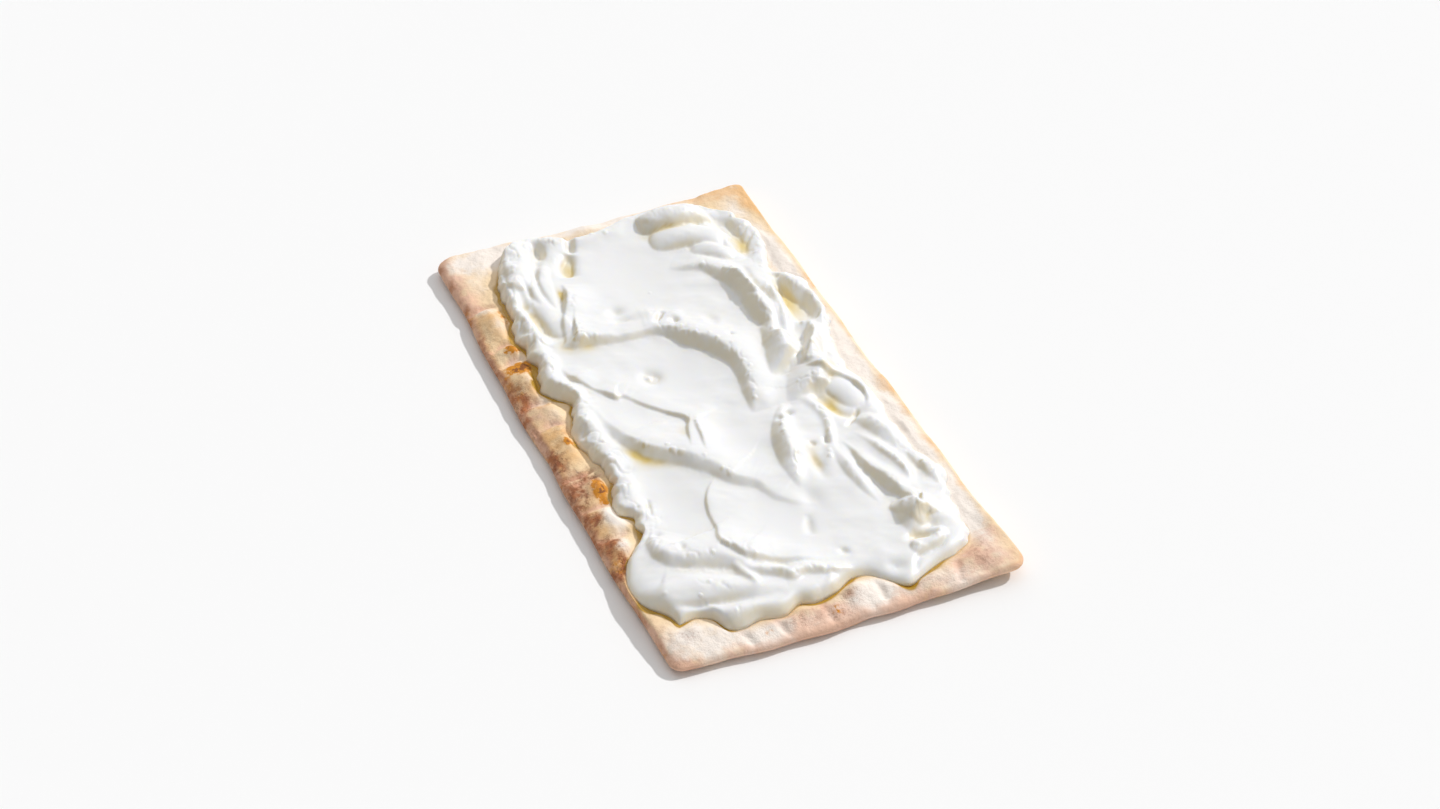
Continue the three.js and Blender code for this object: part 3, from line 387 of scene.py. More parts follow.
# Each lump or dent: x and y, spread across and along, and rise.
LUMPS = [
    (-35, 130, 2.2, 6, -2.8),
    (-27, 130, 5, 6, 1.4),
    (-52.5, 82, 3.5, 16, -0.8),
    (62.5, 69.5, 2.6, 5, -3.4),
    (64.5, 40, 4, 9, -4.2),
    (13, -81, 4.5, 6, -1.2),
    (26, -28, 2.6, 1.8, -2.2),
    (20, -32, 1.8, 1.8, -1.6),
    (34.5, -51, 1.3, 3, -2.2),
    (27.5, -51, 1.8, 1.8, -1.4),
    (24, -65, 2.8, 7, -1.4),
    (-18, 72, 4, 3.4, -2),
    (-18, 64, 5, 3, -1.8),
    (-3, 62, 5, 4, 1.2),
    (6, 58, 5, 4, 1.4),
    (4, 52, 2.2, 3, -2.4),
    (20, 48, 3, 4, -1.4),
    (24, 31, 1.4, 1.4, -1.6),
    (-20, 22, 4.2, 4.4, -2.8),
    (-20.5, 22.5, 1.8, 1.8, 2.2),
    (-58, -78, 2, 1.8, -1.4),
    (-52, -91, 1.8, 2.6, -1.4),
    (11, -118, 1.8, 2, -1.4),
    (28, -134, 4, 4, -1.8),
    (-76, -100, 7, 12, -1.2),
    (55, -106, 7, 8, 1.4),
    (43, -121.5, 4, 2.2, -2.4),
    (48, -122.5, 3.4, 2.2, -2.4),
    (53, -116, 4, 3, -1.6),
    (-47, 118, 12, 20, 2.4),
    (-53, 84, 9, 22, 1.6),
    (70, -84, 4, 8, 1),
]
# Each smooth trough of the spoon: x and y, spread across and along, and depth.
TROUGHS = [
    (0, 98, 24, 34, 2),
    (-10, 18, 22, 24, 2.2),
    (-40, 0, 11, 18, 1),
    (-4, -42, 14, 24, 1.6),
    (-44, -60, 14, 28, 1.8),
    (-2, -90, 26, 20, 2.2),
    (45, -78, 9, 24, 1.6),
    (54, -26, 8, 14, 1.4),
    (37, 14, 8, 18, 1.2),
]
# Each place tinted gold where hollow or shaded: partly whey and oil that gather in hollows, partly painted
# shade on walls turned from the light. Columns are x and y, spread across and along, and strength.
GOLDEN_HOLLOWS = [
    (61, 50, 4.5, 11, 0.8),
    (47, -30, 5, 7, 1),
    (59, 99, 4, 7, 0.8),
    (-36.5, 91, 1.4, 6, 2.2),
    (28, 121, 9, 8, 0.6),
    (54, -8, 6, 5, 1),
    (-43, 54, 6, 5, 2),
    (-37, -28, 14, 7, 2.2),
    (-50, 32, 4, 6, 0.4),
    (66, -82, 3, 9, 0.8),
    (55, -50, 4, 8, 0.5),
    (54, -74, 3, 12, 0.5),
    (52, -104, 1.6, 6, 3),
    (45, -122, 6, 3, 0.4),
    (27, -60, 4, 7, 0.8),
    (-25, 112, 4, 8, 0.7),
    (-55, 84, 4, 14, 0.5),
]
# Where the labneh's edge thins out slowly: x and y, spread across and along, and width added to its fall.
SLOW_FALLS = [
    (-80, -102, 9, 15, 5),
    (34, -138, 26, 9, 9),
    (66, -118, 8, 16, 7),
    (70, -50, 7, 34, 8),
    (67, 4, 7, 20, 7),
    (67, 80, 6, 10, 5),
]

# Fine detail of the labneh
CRUMB_COUNT = 200
CRUMB_SIZES = (0.7, 1.4)
CRUMB_RISE = 0.35  # height of a crumb, as a share of its size
CRUMB_SEED = 15
CRUMBS_ON_BORDER = 0.5  # how likely crumbs are on a ragged border, compared with a crest
STRAY_CRUMBS = 0.0004  # and how likely they are elsewhere
RIGHT_RAGGED = 0.6  # how ragged the right border is, compared with the left
BORDER_ROUGHNESS = 4  # how much rougher a ragged border is than the rest
ROUGH_LOST = 0.95  # share of the roughness that a smooth place lacks
SEAMS_LOST = 0.8  # share of the seams that it lacks
BROKEN_SHARE = 0.6  # how much of the spread the seams break up
# Each net of seams: size of its meshes, seed, width of a line as a share of a wave's height, and depth.
SEAMS = (11, 17, 0.22, 0.6)
FINE_SEAMS = (5, 18, 0.25, 0.25)
# Limits between which a place counts as steep, as a crest, as near the edge, as warm (a slope turned from
# the lights, for painted shade, a hollow, or a thin edge) or as oily.
STEEP = (0.25, 1.2)
CREST = (0.3, 1.2)
BORDER = (3, 14)
TORN_EDGE = (0, 7)
SHADED_SLOPE = (0.25, 1.0)
WARM_HOLLOW = (0.3, 1.5)
WARM_EDGE = (0.5, 2.4)
OILY_HOLLOW = (0.2, 1.2)
# How much each of these counts towards the warm tint, compared with a slope that rises to the right. Slopes
# rising to the right or to the back turn from the key or back light and get painted shade, hollows get
# painted shade and whey, and thin edges get it too.
FRONT_FACE_SHADE = 0.8
HOLLOW_SHADE_AND_WHEY = 0.2
EDGE_WARMTH = 0.2
SHADE_IN_GOLD = 0.3  # how much the warm tint, painted shade on slopes turned from the lights, adds to the gold of a hollow
# Widths of blurs, in cells of the mesh.
SOFTENING = 0.6
STEEP_BLUR = 5
CREST_BLUR = 6
HOLLOW_BLUR = 8
SHOULDER_BLUR = 2.5
BLUR_REACH = 3  # radius of a blur, in its widths

# Random unevenness: strength, size of waves and seed of each layer.
RIM_WAVES = [(0.3, 18, 31), (0.15, 8, 32), (0.06, 3, 33)]
WARP_ACROSS = [(0.6, 22, 41), (0.06, 6, 42)]
WARP_ALONG = [(0.6, 22, 43), (0.06, 6, 44)]
ROUGH_WAVES = [(0.18, 14, 11), (0.03, 5, 12)]
CRUMPLED_WAVES = [(0.12, 6, 13), (0.07, 2.6, 14)]
BROKEN_WAVES = [(1, 30, 16)]
FALL_WAVES = [(0.3, 16, 21)]
TORN_WAVES = [(0.9, 10, 22), (0.2, 3.5, 23)]
SEEP_WAVES = [(0.5, 9, 51)]
SCORCH_WAVES = [(1, 22, 52)]
RUSSET_WAVES = [(0.9, 14, 53)]
WAVE_COUNT = 18  # waves in a layer
WAVE_LENGTHS = (0.7, 1.6)  # their lengths, as shares of the layer's size

# Zones of the plan: distances from the middle where each begins and where it is in full.
LEFT_BORDER = (25, 50)
RIGHT_BORDER = (40, 60)
LEFT_TORN = (30, 50)
LEFT_FOOT_LINE = (20, 55)
LEFT_FACE = (60, 78)
FRONT_FALLING = (105, 125)
FRONT_FOOT_LINE = (112, 122)
FRONT_TOASTED = (120, 140)
FRONT_TAPERED = (125, 145)
BEHIND_LOBE = (-90, -70)
BEHIND_TONGUE = (-125, -110)

# Masks of the crust
FACE_REACH = (1, 5)  # distances from the edge where the left face ends
EDGE_LINE_REACH = (0, 2.5)  # and where the line along the edge ends
# How strongly each mask shows on the left face, and how much flour that face lacks.
ON_LEFT_FACE = {"toast": 1.0, "pink": 0.7, "flour": 0.9, "burn": 0.15, "russet": 0.4, "speckle": 0.15}
EDGE_TOAST = 0.25
FRONT_EDGE_TOAST = 1.3
EDGE_PINK = 0.3
CREASE_PINK = 0.8
SPECKLED_RUSSET = 0.7
MOST_SPECKLED = 1.3
OIL_AND_SHADE_LINE = 0.45  # strength of the line of oil and painted shade at the labneh's foot
OIL_AND_SHADE_LINE_WIDTH = 0.9
SEEP_WIDTH = 3.2  # how far oil seeps out from there
UNDERSIDE = {"toast": 0.55, "pink": 0.35, "flour": 0.1, "burn": 0, "russet": 0.1, "speckle": 0.6, "oil_and_foot_shade": 0}
UNDERSIDE_FADE = 3  # how soon the edge's masks give way to the underside's

# Mesh density
LABNEH_ACROSS = 236
LABNEH_ALONG = 420
RIM_ACROSS = 200
RIM_ALONG = 350
RIM_ROWS = 60
ROW_CROWDING = 1.4  # how much the rows crowd towards the bread's edge
UNDER_ROWS = (0.4, 1, 2, 3, 4, 6, 9, 13, 18, 22)  # distances in from the edge on the underside
CORNER_FAN = 5  # how late the rim's cells fan out towards a corner
BEND_FADE_ACROSS = 5  # how soon the bends of the long sides fade away from them
BEND_FADE_ALONG = 10  # and those of the short sides
OUTLINE_SAMPLES = 400  # points on each side of the bread
FOOT_SAMPLES = 90  # and of the labneh
CURVE_SAMPLES = 2000
PATH_STEP = 1.5
# How far from its path each form is worked out: the back of a ledge, its ramp, and a roll's half width.
BACK_REACH = 3
RAMP_REACH = 4
ROLL_REACH = 3

# View: the camera of the photograph, in the bread's plan
CAMERA_AZIMUTH = -113.31  # degrees anticlockwise from the plan's right
CAMERA_ELEVATION = 40.11
CAMERA_DISTANCE = 1191
CAMERA_TARGET = (3.3, -3.4, 5)
FOCAL_PIXELS = 2637
IMAGE_WIDTH = 1440
SENSOR_WIDTH = 36

SIDES = ("front", "right", "back", "left")
SHORT_SIDES = ("front", "back")


def smoothstep(value, low, high):
    t = np.clip((value - low) / (high - low), 0, 1)
    return t * t * (3 - 2 * t)


def lerp(low, high, share):
    return low + (high - low) * share


def shoulder(distance, width):
    """A quarter of an ellipse that rises from 0 to 1 over the given width."""
    left = 1 - np.clip(distance / width, 0, 1)
    return np.sqrt(1 - left * left)


def half_round(share):
    """The height of a half circle at a share of its radius from the middle."""
    return np.sqrt(np.clip(1 - share * share, 0, 1))


def patches(table, x, y):
    """The sum of bell-shaped hills, one for each row of a table."""
    return sum(
        rise * np.exp(-(((x - at_x) / across) ** 2) - ((y - at_y) / along) ** 2)
        for at_x, at_y, across, along, rise in table
    )


def waves(x, y, size, seed):
    """Smooth random unevenness, mostly between -1 and 1, in waves of about the given size."""
    random = np.random.default_rng(seed)
    total = np.zeros(x.shape)
    for _ in range(WAVE_COUNT):
        heading = random.uniform(0, 2 * math.pi)
        length = size * random.uniform(*WAVE_LENGTHS)
        phase = random.uniform(0, 2 * math.pi)
        total += np.sin((x * math.cos(heading) + y * math.sin(heading)) * 2 * math.pi / length + phase)
    return total / math.sqrt(WAVE_COUNT)


def unevenness(layers, x, y):
    return sum(strength * waves(x, y, size, seed) for strength, size, seed in layers)


def seam_lines(net, x, y):
    """Thin lines where random waves cross zero, as deep as their net is."""
    size, seed, width, depth = net
    return depth * np.exp(-((waves(x, y, size, seed) / width) ** 2))


def blur(field, cells):
    """A grid of values smoothed over about the given number of cells."""
    radius = int(BLUR_REACH * cells) + 1
    weights = np.exp(-0.5 * (np.arange(-radius, radius + 1) / cells) ** 2)
    weights /= weights.sum()
    for axis in (0, 1):
        margins = [(radius, radius) if axis == a else (0, 0) for a in (0, 1)]
        padded = np.pad(field, margins, mode="edge")
        reach = np.arange(field.shape[axis])
        field = sum(w * np.take(padded, reach + k, axis) for k, w in enumerate(weights))
    return field


def curve(points, shares):
    """Points of a smooth curve through the given points, at shares of its length."""
    knots = np.array(points, float)
    last = len(knots) - 1
    t = np.linspace(0, last, CURVE_SAMPLES)
    start = np.minimum(t.astype(int), last - 1)
    u = (t - start)[:, None]
    before = knots[np.maximum(start - 1, 0)]
    from_knot = knots[start]
    to_knot = knots[start + 1]
    after = knots[np.minimum(start + 2, last)]
    leave = (to_knot - before) / 2
    arrive = (after - from_knot) / 2
    line = (
        (2 * from_knot - 2 * to_knot + leave + arrive) * u**3
        + (-3 * from_knot + 3 * to_knot - 2 * leave - arrive) * u**2
        + leave * u
        + from_knot
    )
    length = np.concatenate([[0], np.cumsum(np.hypot(*np.diff(line, axis=0).T))])
    wanted = np.asarray(shares) * length[-1]
    return np.stack([np.interp(wanted, length, line[:, axis]) for axis in (0, 1)], -1)


def nearest_on_path(x, y, path):
    """Distance to a path, offset to its left and share along it, for many points at once."""
    best = np.full(x.shape, np.inf)
    offset = np.zeros(x.shape)
    share = np.zeros(x.shape)
    for i, (start, end) in enumerate(zip(path[:-1], path[1:])):
        dx, dy = end - start
        t = np.clip(((x - start[0]) * dx + (y - start[1]) * dy) / (dx * dx + dy * dy), 0, 1)
        away_x = x - start[0] - t * dx
        away_y = y - start[1] - t * dy
        distance = np.hypot(away_x, away_y)
        closer = distance < best
        best[closer] = distance[closer]
        offset[closer] = (np.sign(dx * away_y - dy * away_x) * distance)[closer]
        share[closer] = ((i + t) / (len(path) - 1))[closer]
    return best, offset, share


def along_path(x, y, path, reach):
    """Which points lie within reach of a path, their offset to its left and their share along it."""
    rough_length = np.hypot(*np.diff(np.array(path, float), axis=0).T).sum()
    line = curve(path, np.linspace(0, 1, int(rough_length / PATH_STEP) + 2))
    low, high = line.min(0) - reach, line.max(0) + reach
    close = (x > low[0]) & (x < high[0]) & (y > low[1]) & (y < high[1])
    _, offset, share = nearest_on_path(x[close], y[close], line)
    return close, offset, share


def roll_form(x, y, path, half_width, fade):
    """Which points lie near a roll or crease, and its form there: a bell across that fades at both ends."""
    close, offset, share = along_path(x, y, path, ROLL_REACH * half_width)
    return close, np.sin(math.pi * share) ** fade * np.exp(-((offset / half_width) ** 2))


def bread_point(side, t, inset):
    """A point of the bread's outline, drawn in by the given inset. The sides run anticlockwise."""
    is_short = side in SHORT_SIDES
    half = (HALF_WIDTH if is_short else HALF_LENGTH) - inset
    reach = (HALF_LENGTH if is_short else HALF_WIDTH) - inset
    radius = np.where(t < 0.5, *CORNER_RADIUS[side])
    along = lerp(-half, half, t)
    into_corner = np.maximum(0, 1 - (half - np.abs(along)) / radius)
    shrink = 1 / np.hypot(1, into_corner)
    in_corner = into_corner > 0
    along = np.where(in_corner, np.sign(along) * (half - radius + radius * into_corner * shrink), along)
    depth = reach - radius * (1 - shrink)
    share = along / half
    waver = np.sin(share * RIPPLE_PACES[0] + half) + np.sin(share * RIPPLE_PACES[1] + reach)
    depth = depth + (SIDE_BOW[side] + RIPPLE * waver) * (1 - share * share)
    x, y = {
        "front": (along, -depth),
        "right": (depth, along),
        "back": (-along, depth),
        "left": (-depth, -along),
    }[side]
    drawn = np.stack([x, y], -1)
    for (at_x, at_y), reach, shift in DRAWN_CORNERS:
        drawn = drawn + np.exp(-((x - at_x) ** 2 + (y - at_y) ** 2) / reach**2)[..., None] * shift
    return drawn


def along_side(side, points):
    """How far along their side points lie from its middle, growing anticlockwise."""
    x, y = points[..., 0], points[..., 1]
    return {"front": x, "right": y, "back": -x, "left": -y}[side]


def facing_share(side, foot):
    """The share of a bread side that faces a point of the labneh's edge."""
    half = HALF_WIDTH if side in SHORT_SIDES else HALF_LENGTH
    along = along_side(side, foot)
    first, last = along_side(side, np.array(LABNEH_SIDES[side])[[0, -1]])
    corner = np.where(along < 0, first, last)
    fan = (half - np.abs(corner)) * np.sign(along) * (along / corner) ** CORNER_FAN
    return (along + fan + half) / (2 * half)


def outline_box_centre():
    t = np.linspace(0, 1, OUTLINE_SAMPLES)
    outline = np.concatenate([bread_point(side, t, 0) for side in SIDES])
    return (outline.min(0) + outline.max(0)) / 2


MIDDLE = outline_box_centre()


def to_frame(x, y, z):
    """Plan millimetres to the frame's metres."""
    return np.stack([(x - MIDDLE[0]) * METRES, (y - MIDDLE[1]) * METRES, z * METRES], -1)


def grid_faces(rows, columns, wrap=False):
    """Quads of a grid of vertices, which face up when rows run inward and columns anticlockwise."""
    i = np.arange(rows - 1)[:, None]
    j = np.arange(columns if wrap else columns - 1)[None, :]
    after = (j + 1) % columns
    quads = [i * columns + j, i * columns + after, (i + 1) * columns + after, (i + 1) * columns + j]
    return np.stack(quads, -1).reshape(-1, 4)


def add_object(name, data):
    thing = bpy.data.objects.new(name, data)
    bpy.context.scene.collection.objects.link(thing)
    return thing


def make_piece(name, vertices, quads, caps, masks):
    """A smooth mesh object from vertices, quads, capping polygons and named point masks."""
    mesh = bpy.data.meshes.new(name)
    mesh.from_pydata(vertices.tolist(), [], quads.tolist() + caps)
    mesh.shade_smooth()
    for mask, values in masks.items():
        layer = mesh.attributes.new(mask, "FLOAT", "POINT")
        layer.data.foreach_set("value", np.asarray(values, np.float32).ravel())
    mesh.validate()
    return add_object(name, mesh)


# Making the labneh

def crumbs(x, y, likely):
    """Small half-round crumbs, scattered over a grid where they are likely."""
    random = np.random.default_rng(CRUMB_SEED)
    chosen = random.choice(x.size, CRUMB_COUNT, p=(likely / likely.sum()).ravel())
    rise = np.zeros(x.shape)
    for i in chosen:
        size = random.uniform(*CRUMB_SIZES)
        away = np.hypot(x - x.flat[i], y - y.flat[i]) / size
        rise = np.maximum(rise, CRUMB_RISE * size * half_round(away))
    return rise


def spoon_marks(x, y):
    """Thickness of the labneh with its troughs, ledges, folds and lumps, and how smooth it is."""
    smooth = np.zeros(x.shape)
    thickness = np.full(x.shape, float(BODY))
    for *place, depth in TROUGHS:
        bowl = patches([(*place, 1)], x, y)
        thickness -= depth * bowl
        smooth = np.maximum(smooth, bowl)
    warp_x = x + unevenness(WARP_ACROSS, x, y)
    warp_y = y + unevenness(WARP_ALONG, x, y)
    for path, rises, run, back, ramp, rounding in LEDGES.values():
        reach = max(BACK_REACH * back + run, RAMP_REACH * ramp)
        close, offset, share = along_path(warp_x, warp_y, path, reach)
        rise = np.interp(share, np.linspace(0, 1, len(rises)), rises)
        before = RAMP_SHARE * np.exp(np.minimum(offset, 0) / ramp)
        wide = run * lerp(END_SHARE, 1, rise / max(rises))
        wall = (1 - RAMP_SHARE) * (1 - (1 - np.clip(offset / wide, 0, 1)) ** rounding)
        behind = np.exp(-((np.maximum(0, offset - wide) / back) ** 2))
        thickness[close] += rise * (before + wall) * behind
    for path, half_width, rise in SWELLS.values():
        close, offset, _ = along_path(warp_x, warp_y, path, half_width)
        thickness[close] += rise * half_round(offset / half_width)
    for path, half_width, rise in ROLLS.values():
        close, form = roll_form(warp_x, warp_y, path, half_width, ROLL_FADE)
        thickness[close] += rise * form
    thickness += patches(LUMPS, warp_x, warp_y)
    for path, half_width, height in LOGS.values():
        close, offset, share = along_path(warp_x, warp_y, path, half_width)
        fullness = np.sqrt(np.sin(math.pi * share))
        across = offset / (half_width * lerp(LOG_END_WIDTH, 1, fullness))
        log = height * lerp(LOG_END_HEIGHT, 1, fullness) * half_round(across)
        smooth[close] = np.maximum(smooth[close], log > thickness[close])
        thickness[close] = np.maximum(thickness[close], log)
    return thickness, smooth


def labneh_thickness(x, y, inward):
    """Thickness of the labneh with its fine detail: rough borders, crumpled walls, seams and crumbs."""
    thickness, smooth = spoon_marks(x, y)
    steep = smoothstep(np.abs(thickness - blur(thickness, STEEP_BLUR)), *STEEP)
    thickness = blur(thickness, SOFTENING)
    ragged_left = smoothstep(-x, *LEFT_BORDER) * smoothstep(y, *BEHIND_LOBE)
    ragged_right = RIGHT_RAGGED * smoothstep(x, *RIGHT_BORDER) * smoothstep(y, *BEHIND_TONGUE)
    border = (1 - smoothstep(inward, *BORDER)) * np.maximum(ragged_left, ragged_right)
    rough = (1 - ROUGH_LOST * smooth) * (1 + BORDER_ROUGHNESS * border)
    thickness += rough * unevenness(ROUGH_WAVES, x, y)
    thickness += np.maximum(steep, border) * unevenness(CRUMPLED_WAVES, x, y)
    crest = smoothstep(thickness - blur(thickness, CREST_BLUR), *CREST)
    broken = np.clip(unevenness(BROKEN_WAVES, x, y) + BROKEN_SHARE, 0, 1) * (1 - SEAMS_LOST * smooth)
    seams = seam_lines(SEAMS, x, y) * np.clip(crest + border, 0, 1) + seam_lines(FINE_SEAMS, x, y) * crest
    thickness -= broken * seams
    thickness += crumbs(x, y, (1 - smooth) * (crest + CRUMBS_ON_BORDER * border) + STRAY_CRUMBS)
    return np.maximum(LOWEST, thickness)


def bend(line):
    """How far a line of points strays from the straight line between its ends."""
    share = np.linspace(0, 1, len(line))[:, None]
    return line - lerp(line[0], line[-1], share)


def labneh_plan(u, v):
    """Plan points over the labneh: a grid between its four corners, bent to its sides near them."""
    front = curve(LABNEH_SIDES["front"], u)
    back = curve(LABNEH_SIDES["back"], 1 - u)
    left = curve(LABNEH_SIDES["left"], 1 - v)
    right = curve(LABNEH_SIDES["right"], v)
    across = u[None, :, None]
    along = v[:, None, None]
    plan = lerp(lerp(front[0], front[-1], across), lerp(back[0], back[-1], across), along)
    plan = plan + (1 - along) ** BEND_FADE_ALONG * bend(front)[None]
    plan = plan + along**BEND_FADE_ALONG * bend(back)[None]
    plan = plan + (1 - across) ** BEND_FADE_ACROSS * bend(left)[:, None]
    return plan + across**BEND_FADE_ACROSS * bend(right)[:, None]


def distance_from_edge(x, y):
    """How far in from the labneh's outline the points of its grid lie."""
    t = np.linspace(0, 1, FOOT_SAMPLES, endpoint=False)
    outline = np.concatenate([curve(LABNEH_SIDES[side], t) for side in SIDES])
    inward, _, _ = nearest_on_path(x, y, np.concatenate([outline, outline[:1]]))
    inward[[0, -1], :] = 0
    inward[:, [0, -1]] = 0
    return inward


def labneh_masks(x, y, height):
    """How warm the labneh's colour is, as painted shade on slopes turned from the lights and as warmth in
    hollows and thin edges, and how golden with whey and oil, plus painted shade on shaded walls.
    """
    hollow = blur(height, HOLLOW_BLUR) - height
    rise_back = np.gradient(height, axis=0) / np.gradient(y, axis=0)
    rise_right = np.gradient(height, axis=1) / np.gradient(x, axis=1)
    # Painted shade: beige on slopes that rise to the right or to the back, turned from the key and back
    # lights.
    shade_and_whey_warmth = smoothstep(np.maximum(rise_right, FRONT_FACE_SHADE * rise_back), *SHADED_SLOPE)
    shade_and_whey_warmth += HOLLOW_SHADE_AND_WHEY * smoothstep(hollow, *WARM_HOLLOW)
    shade_and_whey_warmth += EDGE_WARMTH * (1 - smoothstep(height, *WARM_EDGE))
    shade_and_whey_warmth = np.clip(shade_and_whey_warmth, 0, 1)
    # The gold spreads onto shaded slopes too, as painted shade.
    gold_and_shade = smoothstep(hollow, *OILY_HOLLOW) + SHADE_IN_GOLD * shade_and_whey_warmth
    return {"shade_and_whey_warmth": shade_and_whey_warmth, "depth": np.clip(gold_and_shade * patches(GOLDEN_HOLLOWS, x, y), 0, 1)}


def make_labneh():
    plan = labneh_plan(np.linspace(0, 1, LABNEH_ACROSS + 1), np.linspace(0, 1, LABNEH_ALONG + 1))
    x, y = plan[..., 0], plan[..., 1]
    inward = distance_from_edge(x, y)
    fall = lerp(EDGE_FALL, FRONT_FALL, smoothstep(-y, *FRONT_FALLING)) * (1 + unevenness(FALL_WAVES, x, y))
    fall += patches(SLOW_FALLS, x, y)
    edge = blur(shoulder(inward, fall), SHOULDER_BLUR) * shoulder(inward, EDGE_FALL)
    height = labneh_thickness(x, y, inward) * edge
    masks = labneh_masks(x, y, height)
    torn_left = smoothstep(-x, *LEFT_TORN) * smoothstep(y, *BEHIND_LOBE)
    torn = (1 - smoothstep(inward, *TORN_EDGE)) * np.maximum(torn_left, smoothstep(x, *RIGHT_BORDER))
    x = x - torn * unevenness(TORN_WAVES, x, y)
    vertices = to_frame(x, y, BED_HEIGHT - FOOT_SINK + height).reshape(-1, 3)
    rows, columns = x.shape
    index = np.arange(rows * columns).reshape(rows, columns)
    rim = np.concatenate([index[0, :-1], index[:-1, -1], index[-1, :0:-1], index[:0:-1, 0]])
    return make_piece("labneh_spread", vertices, grid_faces(rows, columns), [rim[::-1].tolist()], masks)


# Making the bread

def edge_lift(x, y):
    lift = np.full(x.shape, float(SIDE_LIFT))
    for (at_x, at_y), reach, corner in CURLED_CORNERS:
        lift += corner * (1 - smoothstep(np.hypot(x - at_x, y - at_y), 0, reach))
    return lift


def edge_height(lift):
    return lift + EDGE_SHARE * (BED_HEIGHT - SIDE_LIFT)


def rim_height(edge, x, y, width, share):
    """Height of the bread's rim, between its edge (share 0) and the foot of the labneh (share 1)."""
    rise = RIM_RISE + patches(PILLOWS, x, y) + unevenness(RIM_WAVES, x, y)
    for path, half_width, depth in CREASES:
        close, form = roll_form(x, y, path, half_width, CREASE_FADE)
        rise[close] -= depth * form
    swell = rise * np.minimum(1, width / NARROW_RIM) * (1 - smoothstep(share, RIM_FADE, 1))
    lift = edge_lift(edge[:, 0], edge[:, 1])
    raised = (lift - SIDE_LIFT) * (1 - smoothstep(share, 0, 1))
    tapered = smoothstep(-y, *FRONT_TAPERED) * (1 - smoothstep(share * width, 0, FRONT_TAPER_REACH))
    crown = BED_HEIGHT + swell + raised - FRONT_TAPER * tapered
    edge_round = lerp(EDGE_ROUND, LEFT_EDGE_ROUND, smoothstep(-x, *LEFT_FACE))
    rounding = shoulder(share * width, np.minimum(edge_round, ROUND_LIMIT * width))
    return lerp(edge_height(lift), crown, rounding)


def crust_masks(x, y, to_edge, to_labneh):
    """How toasted, pink, floury, burnt, russet, speckled and oiled the crust is, with painted shade in the
    oil line along the labneh's foot.
    """
    left_face = (1 - smoothstep(to_edge, *FACE_REACH)) * smoothstep(-x, *LEFT_FACE)
    face = {mask: strength * left_face for mask, strength in ON_LEFT_FACE.items()}
    edge_line = 1 - smoothstep(to_edge, *EDGE_LINE_REACH)
    edge_toast = edge_line * lerp(EDGE_TOAST, FRONT_EDGE_TOAST, smoothstep(-y, *FRONT_TOASTED))
    folds = np.zeros(x.shape)
    for path, half_width, _ in CREASES:
        close, form = roll_form(x, y, path, half_width, CREASE_FADE)
        folds[close] = np.maximum(folds[close], form)
    speckled = patches(SPECKLED, x, y)
    russet = SPECKLED_RUSSET * speckled + face["russet"] * (1 + unevenness(RUSSET_WAVES, x, y))
    foot_line_zone = smoothstep(-x, *LEFT_FOOT_LINE) * smoothstep(y, *BEHIND_LOBE) + smoothstep(-y, *FRONT_FOOT_LINE)
    # Oil and painted shade in a dark line along the labneh's foot.
    oil_and_shade_line = OIL_AND_SHADE_LINE * np.exp(-((to_labneh / OIL_AND_SHADE_LINE_WIDTH) ** 2)) * np.clip(foot_line_zone, 0, 1)
    seep_width = SEEP_WIDTH * (1 + unevenness(SEEP_WAVES, x, y))
    seep = patches(OILED, x, y) * np.exp(-((to_labneh / seep_width) ** 2))
    return {
        "toast": patches(TOASTED, x, y) + face["toast"] + edge_toast,
        "pink": patches(PINKISH, x, y) + face["pink"] + EDGE_PINK * edge_line + CREASE_PINK * folds,
        "flour": patches(FLOURY, x, y) * (1 - face["flour"]),
        "burn": patches(BURNT, x, y) + face["burn"] * (1 + unevenness(SCORCH_WAVES, x, y)),
        "russet": np.clip(russet, 0, 1),
        "speckle": np.clip(speckled + face["speckle"], 0, MOST_SPECKLED),
        "oil_and_foot_shade": np.clip(oil_and_shade_line + seep, 0, 1),
    }


def make_bread():
    feet = {}
    facing = {}
    for side in SIDES:
        steps = RIM_ACROSS if side in SHORT_SIDES else RIM_ALONG
        feet[side] = curve(LABNEH_SIDES[side], np.linspace(0, 1, steps, endpoint=False))
        facing[side] = facing_share(side, feet[side])

    def ring(inset):
        return np.concatenate([bread_point(side, facing[side], inset) for side in SIDES])

    foot = np.concatenate(list(feet.values()))
    edge = ring(0)
    width = np.hypot(*(foot - edge).T)[None]
    share = np.linspace(0, 1, RIM_ROWS)[:, None] ** ROW_CROWDING
    rim = edge[None] + (foot - edge)[None] * share[..., None]
    x, y = rim[..., 0], rim[..., 1]
    top = to_frame(x, y, rim_height(edge, x, y, width, share))

    lift = edge_lift(edge[:, 0], edge[:, 1])
    under = []
    for inset in UNDER_ROWS:
        low = lift * (1 - smoothstep(inset, 0, LIFT_REACH))
        z = lerp(edge_height(lift), low, shoulder(inset, UNDER_ROUND))
        under.append(to_frame(*ring(inset).T, z))
    rows = np.concatenate([np.array(under[::-1]), top])
    count = len(edge)
    quads = grid_faces(len(rows), count, wrap=True)
    first_row = np.arange(count)
    last_row = first_row + (len(rows) - 1) * count
    caps = [first_row[::-1].tolist(), last_row.tolist()]

    outer = np.linspace(0, 1, len(UNDER_ROWS))[:, None] ** UNDERSIDE_FADE
    masks = {}
    for name, mask in crust_masks(x, y, share * width, (1 - share) * width).items():
        masks[name] = np.concatenate([lerp(UNDERSIDE[name], mask[0][None], outer), mask])
    return make_piece("bread_loaf", rows.reshape(-1, 3), quads, caps, masks)


# Materials

# The colour sockets of a mix node.
MIX_FIRST = 6
MIX_SECOND = 7
MIX_RESULT = 2


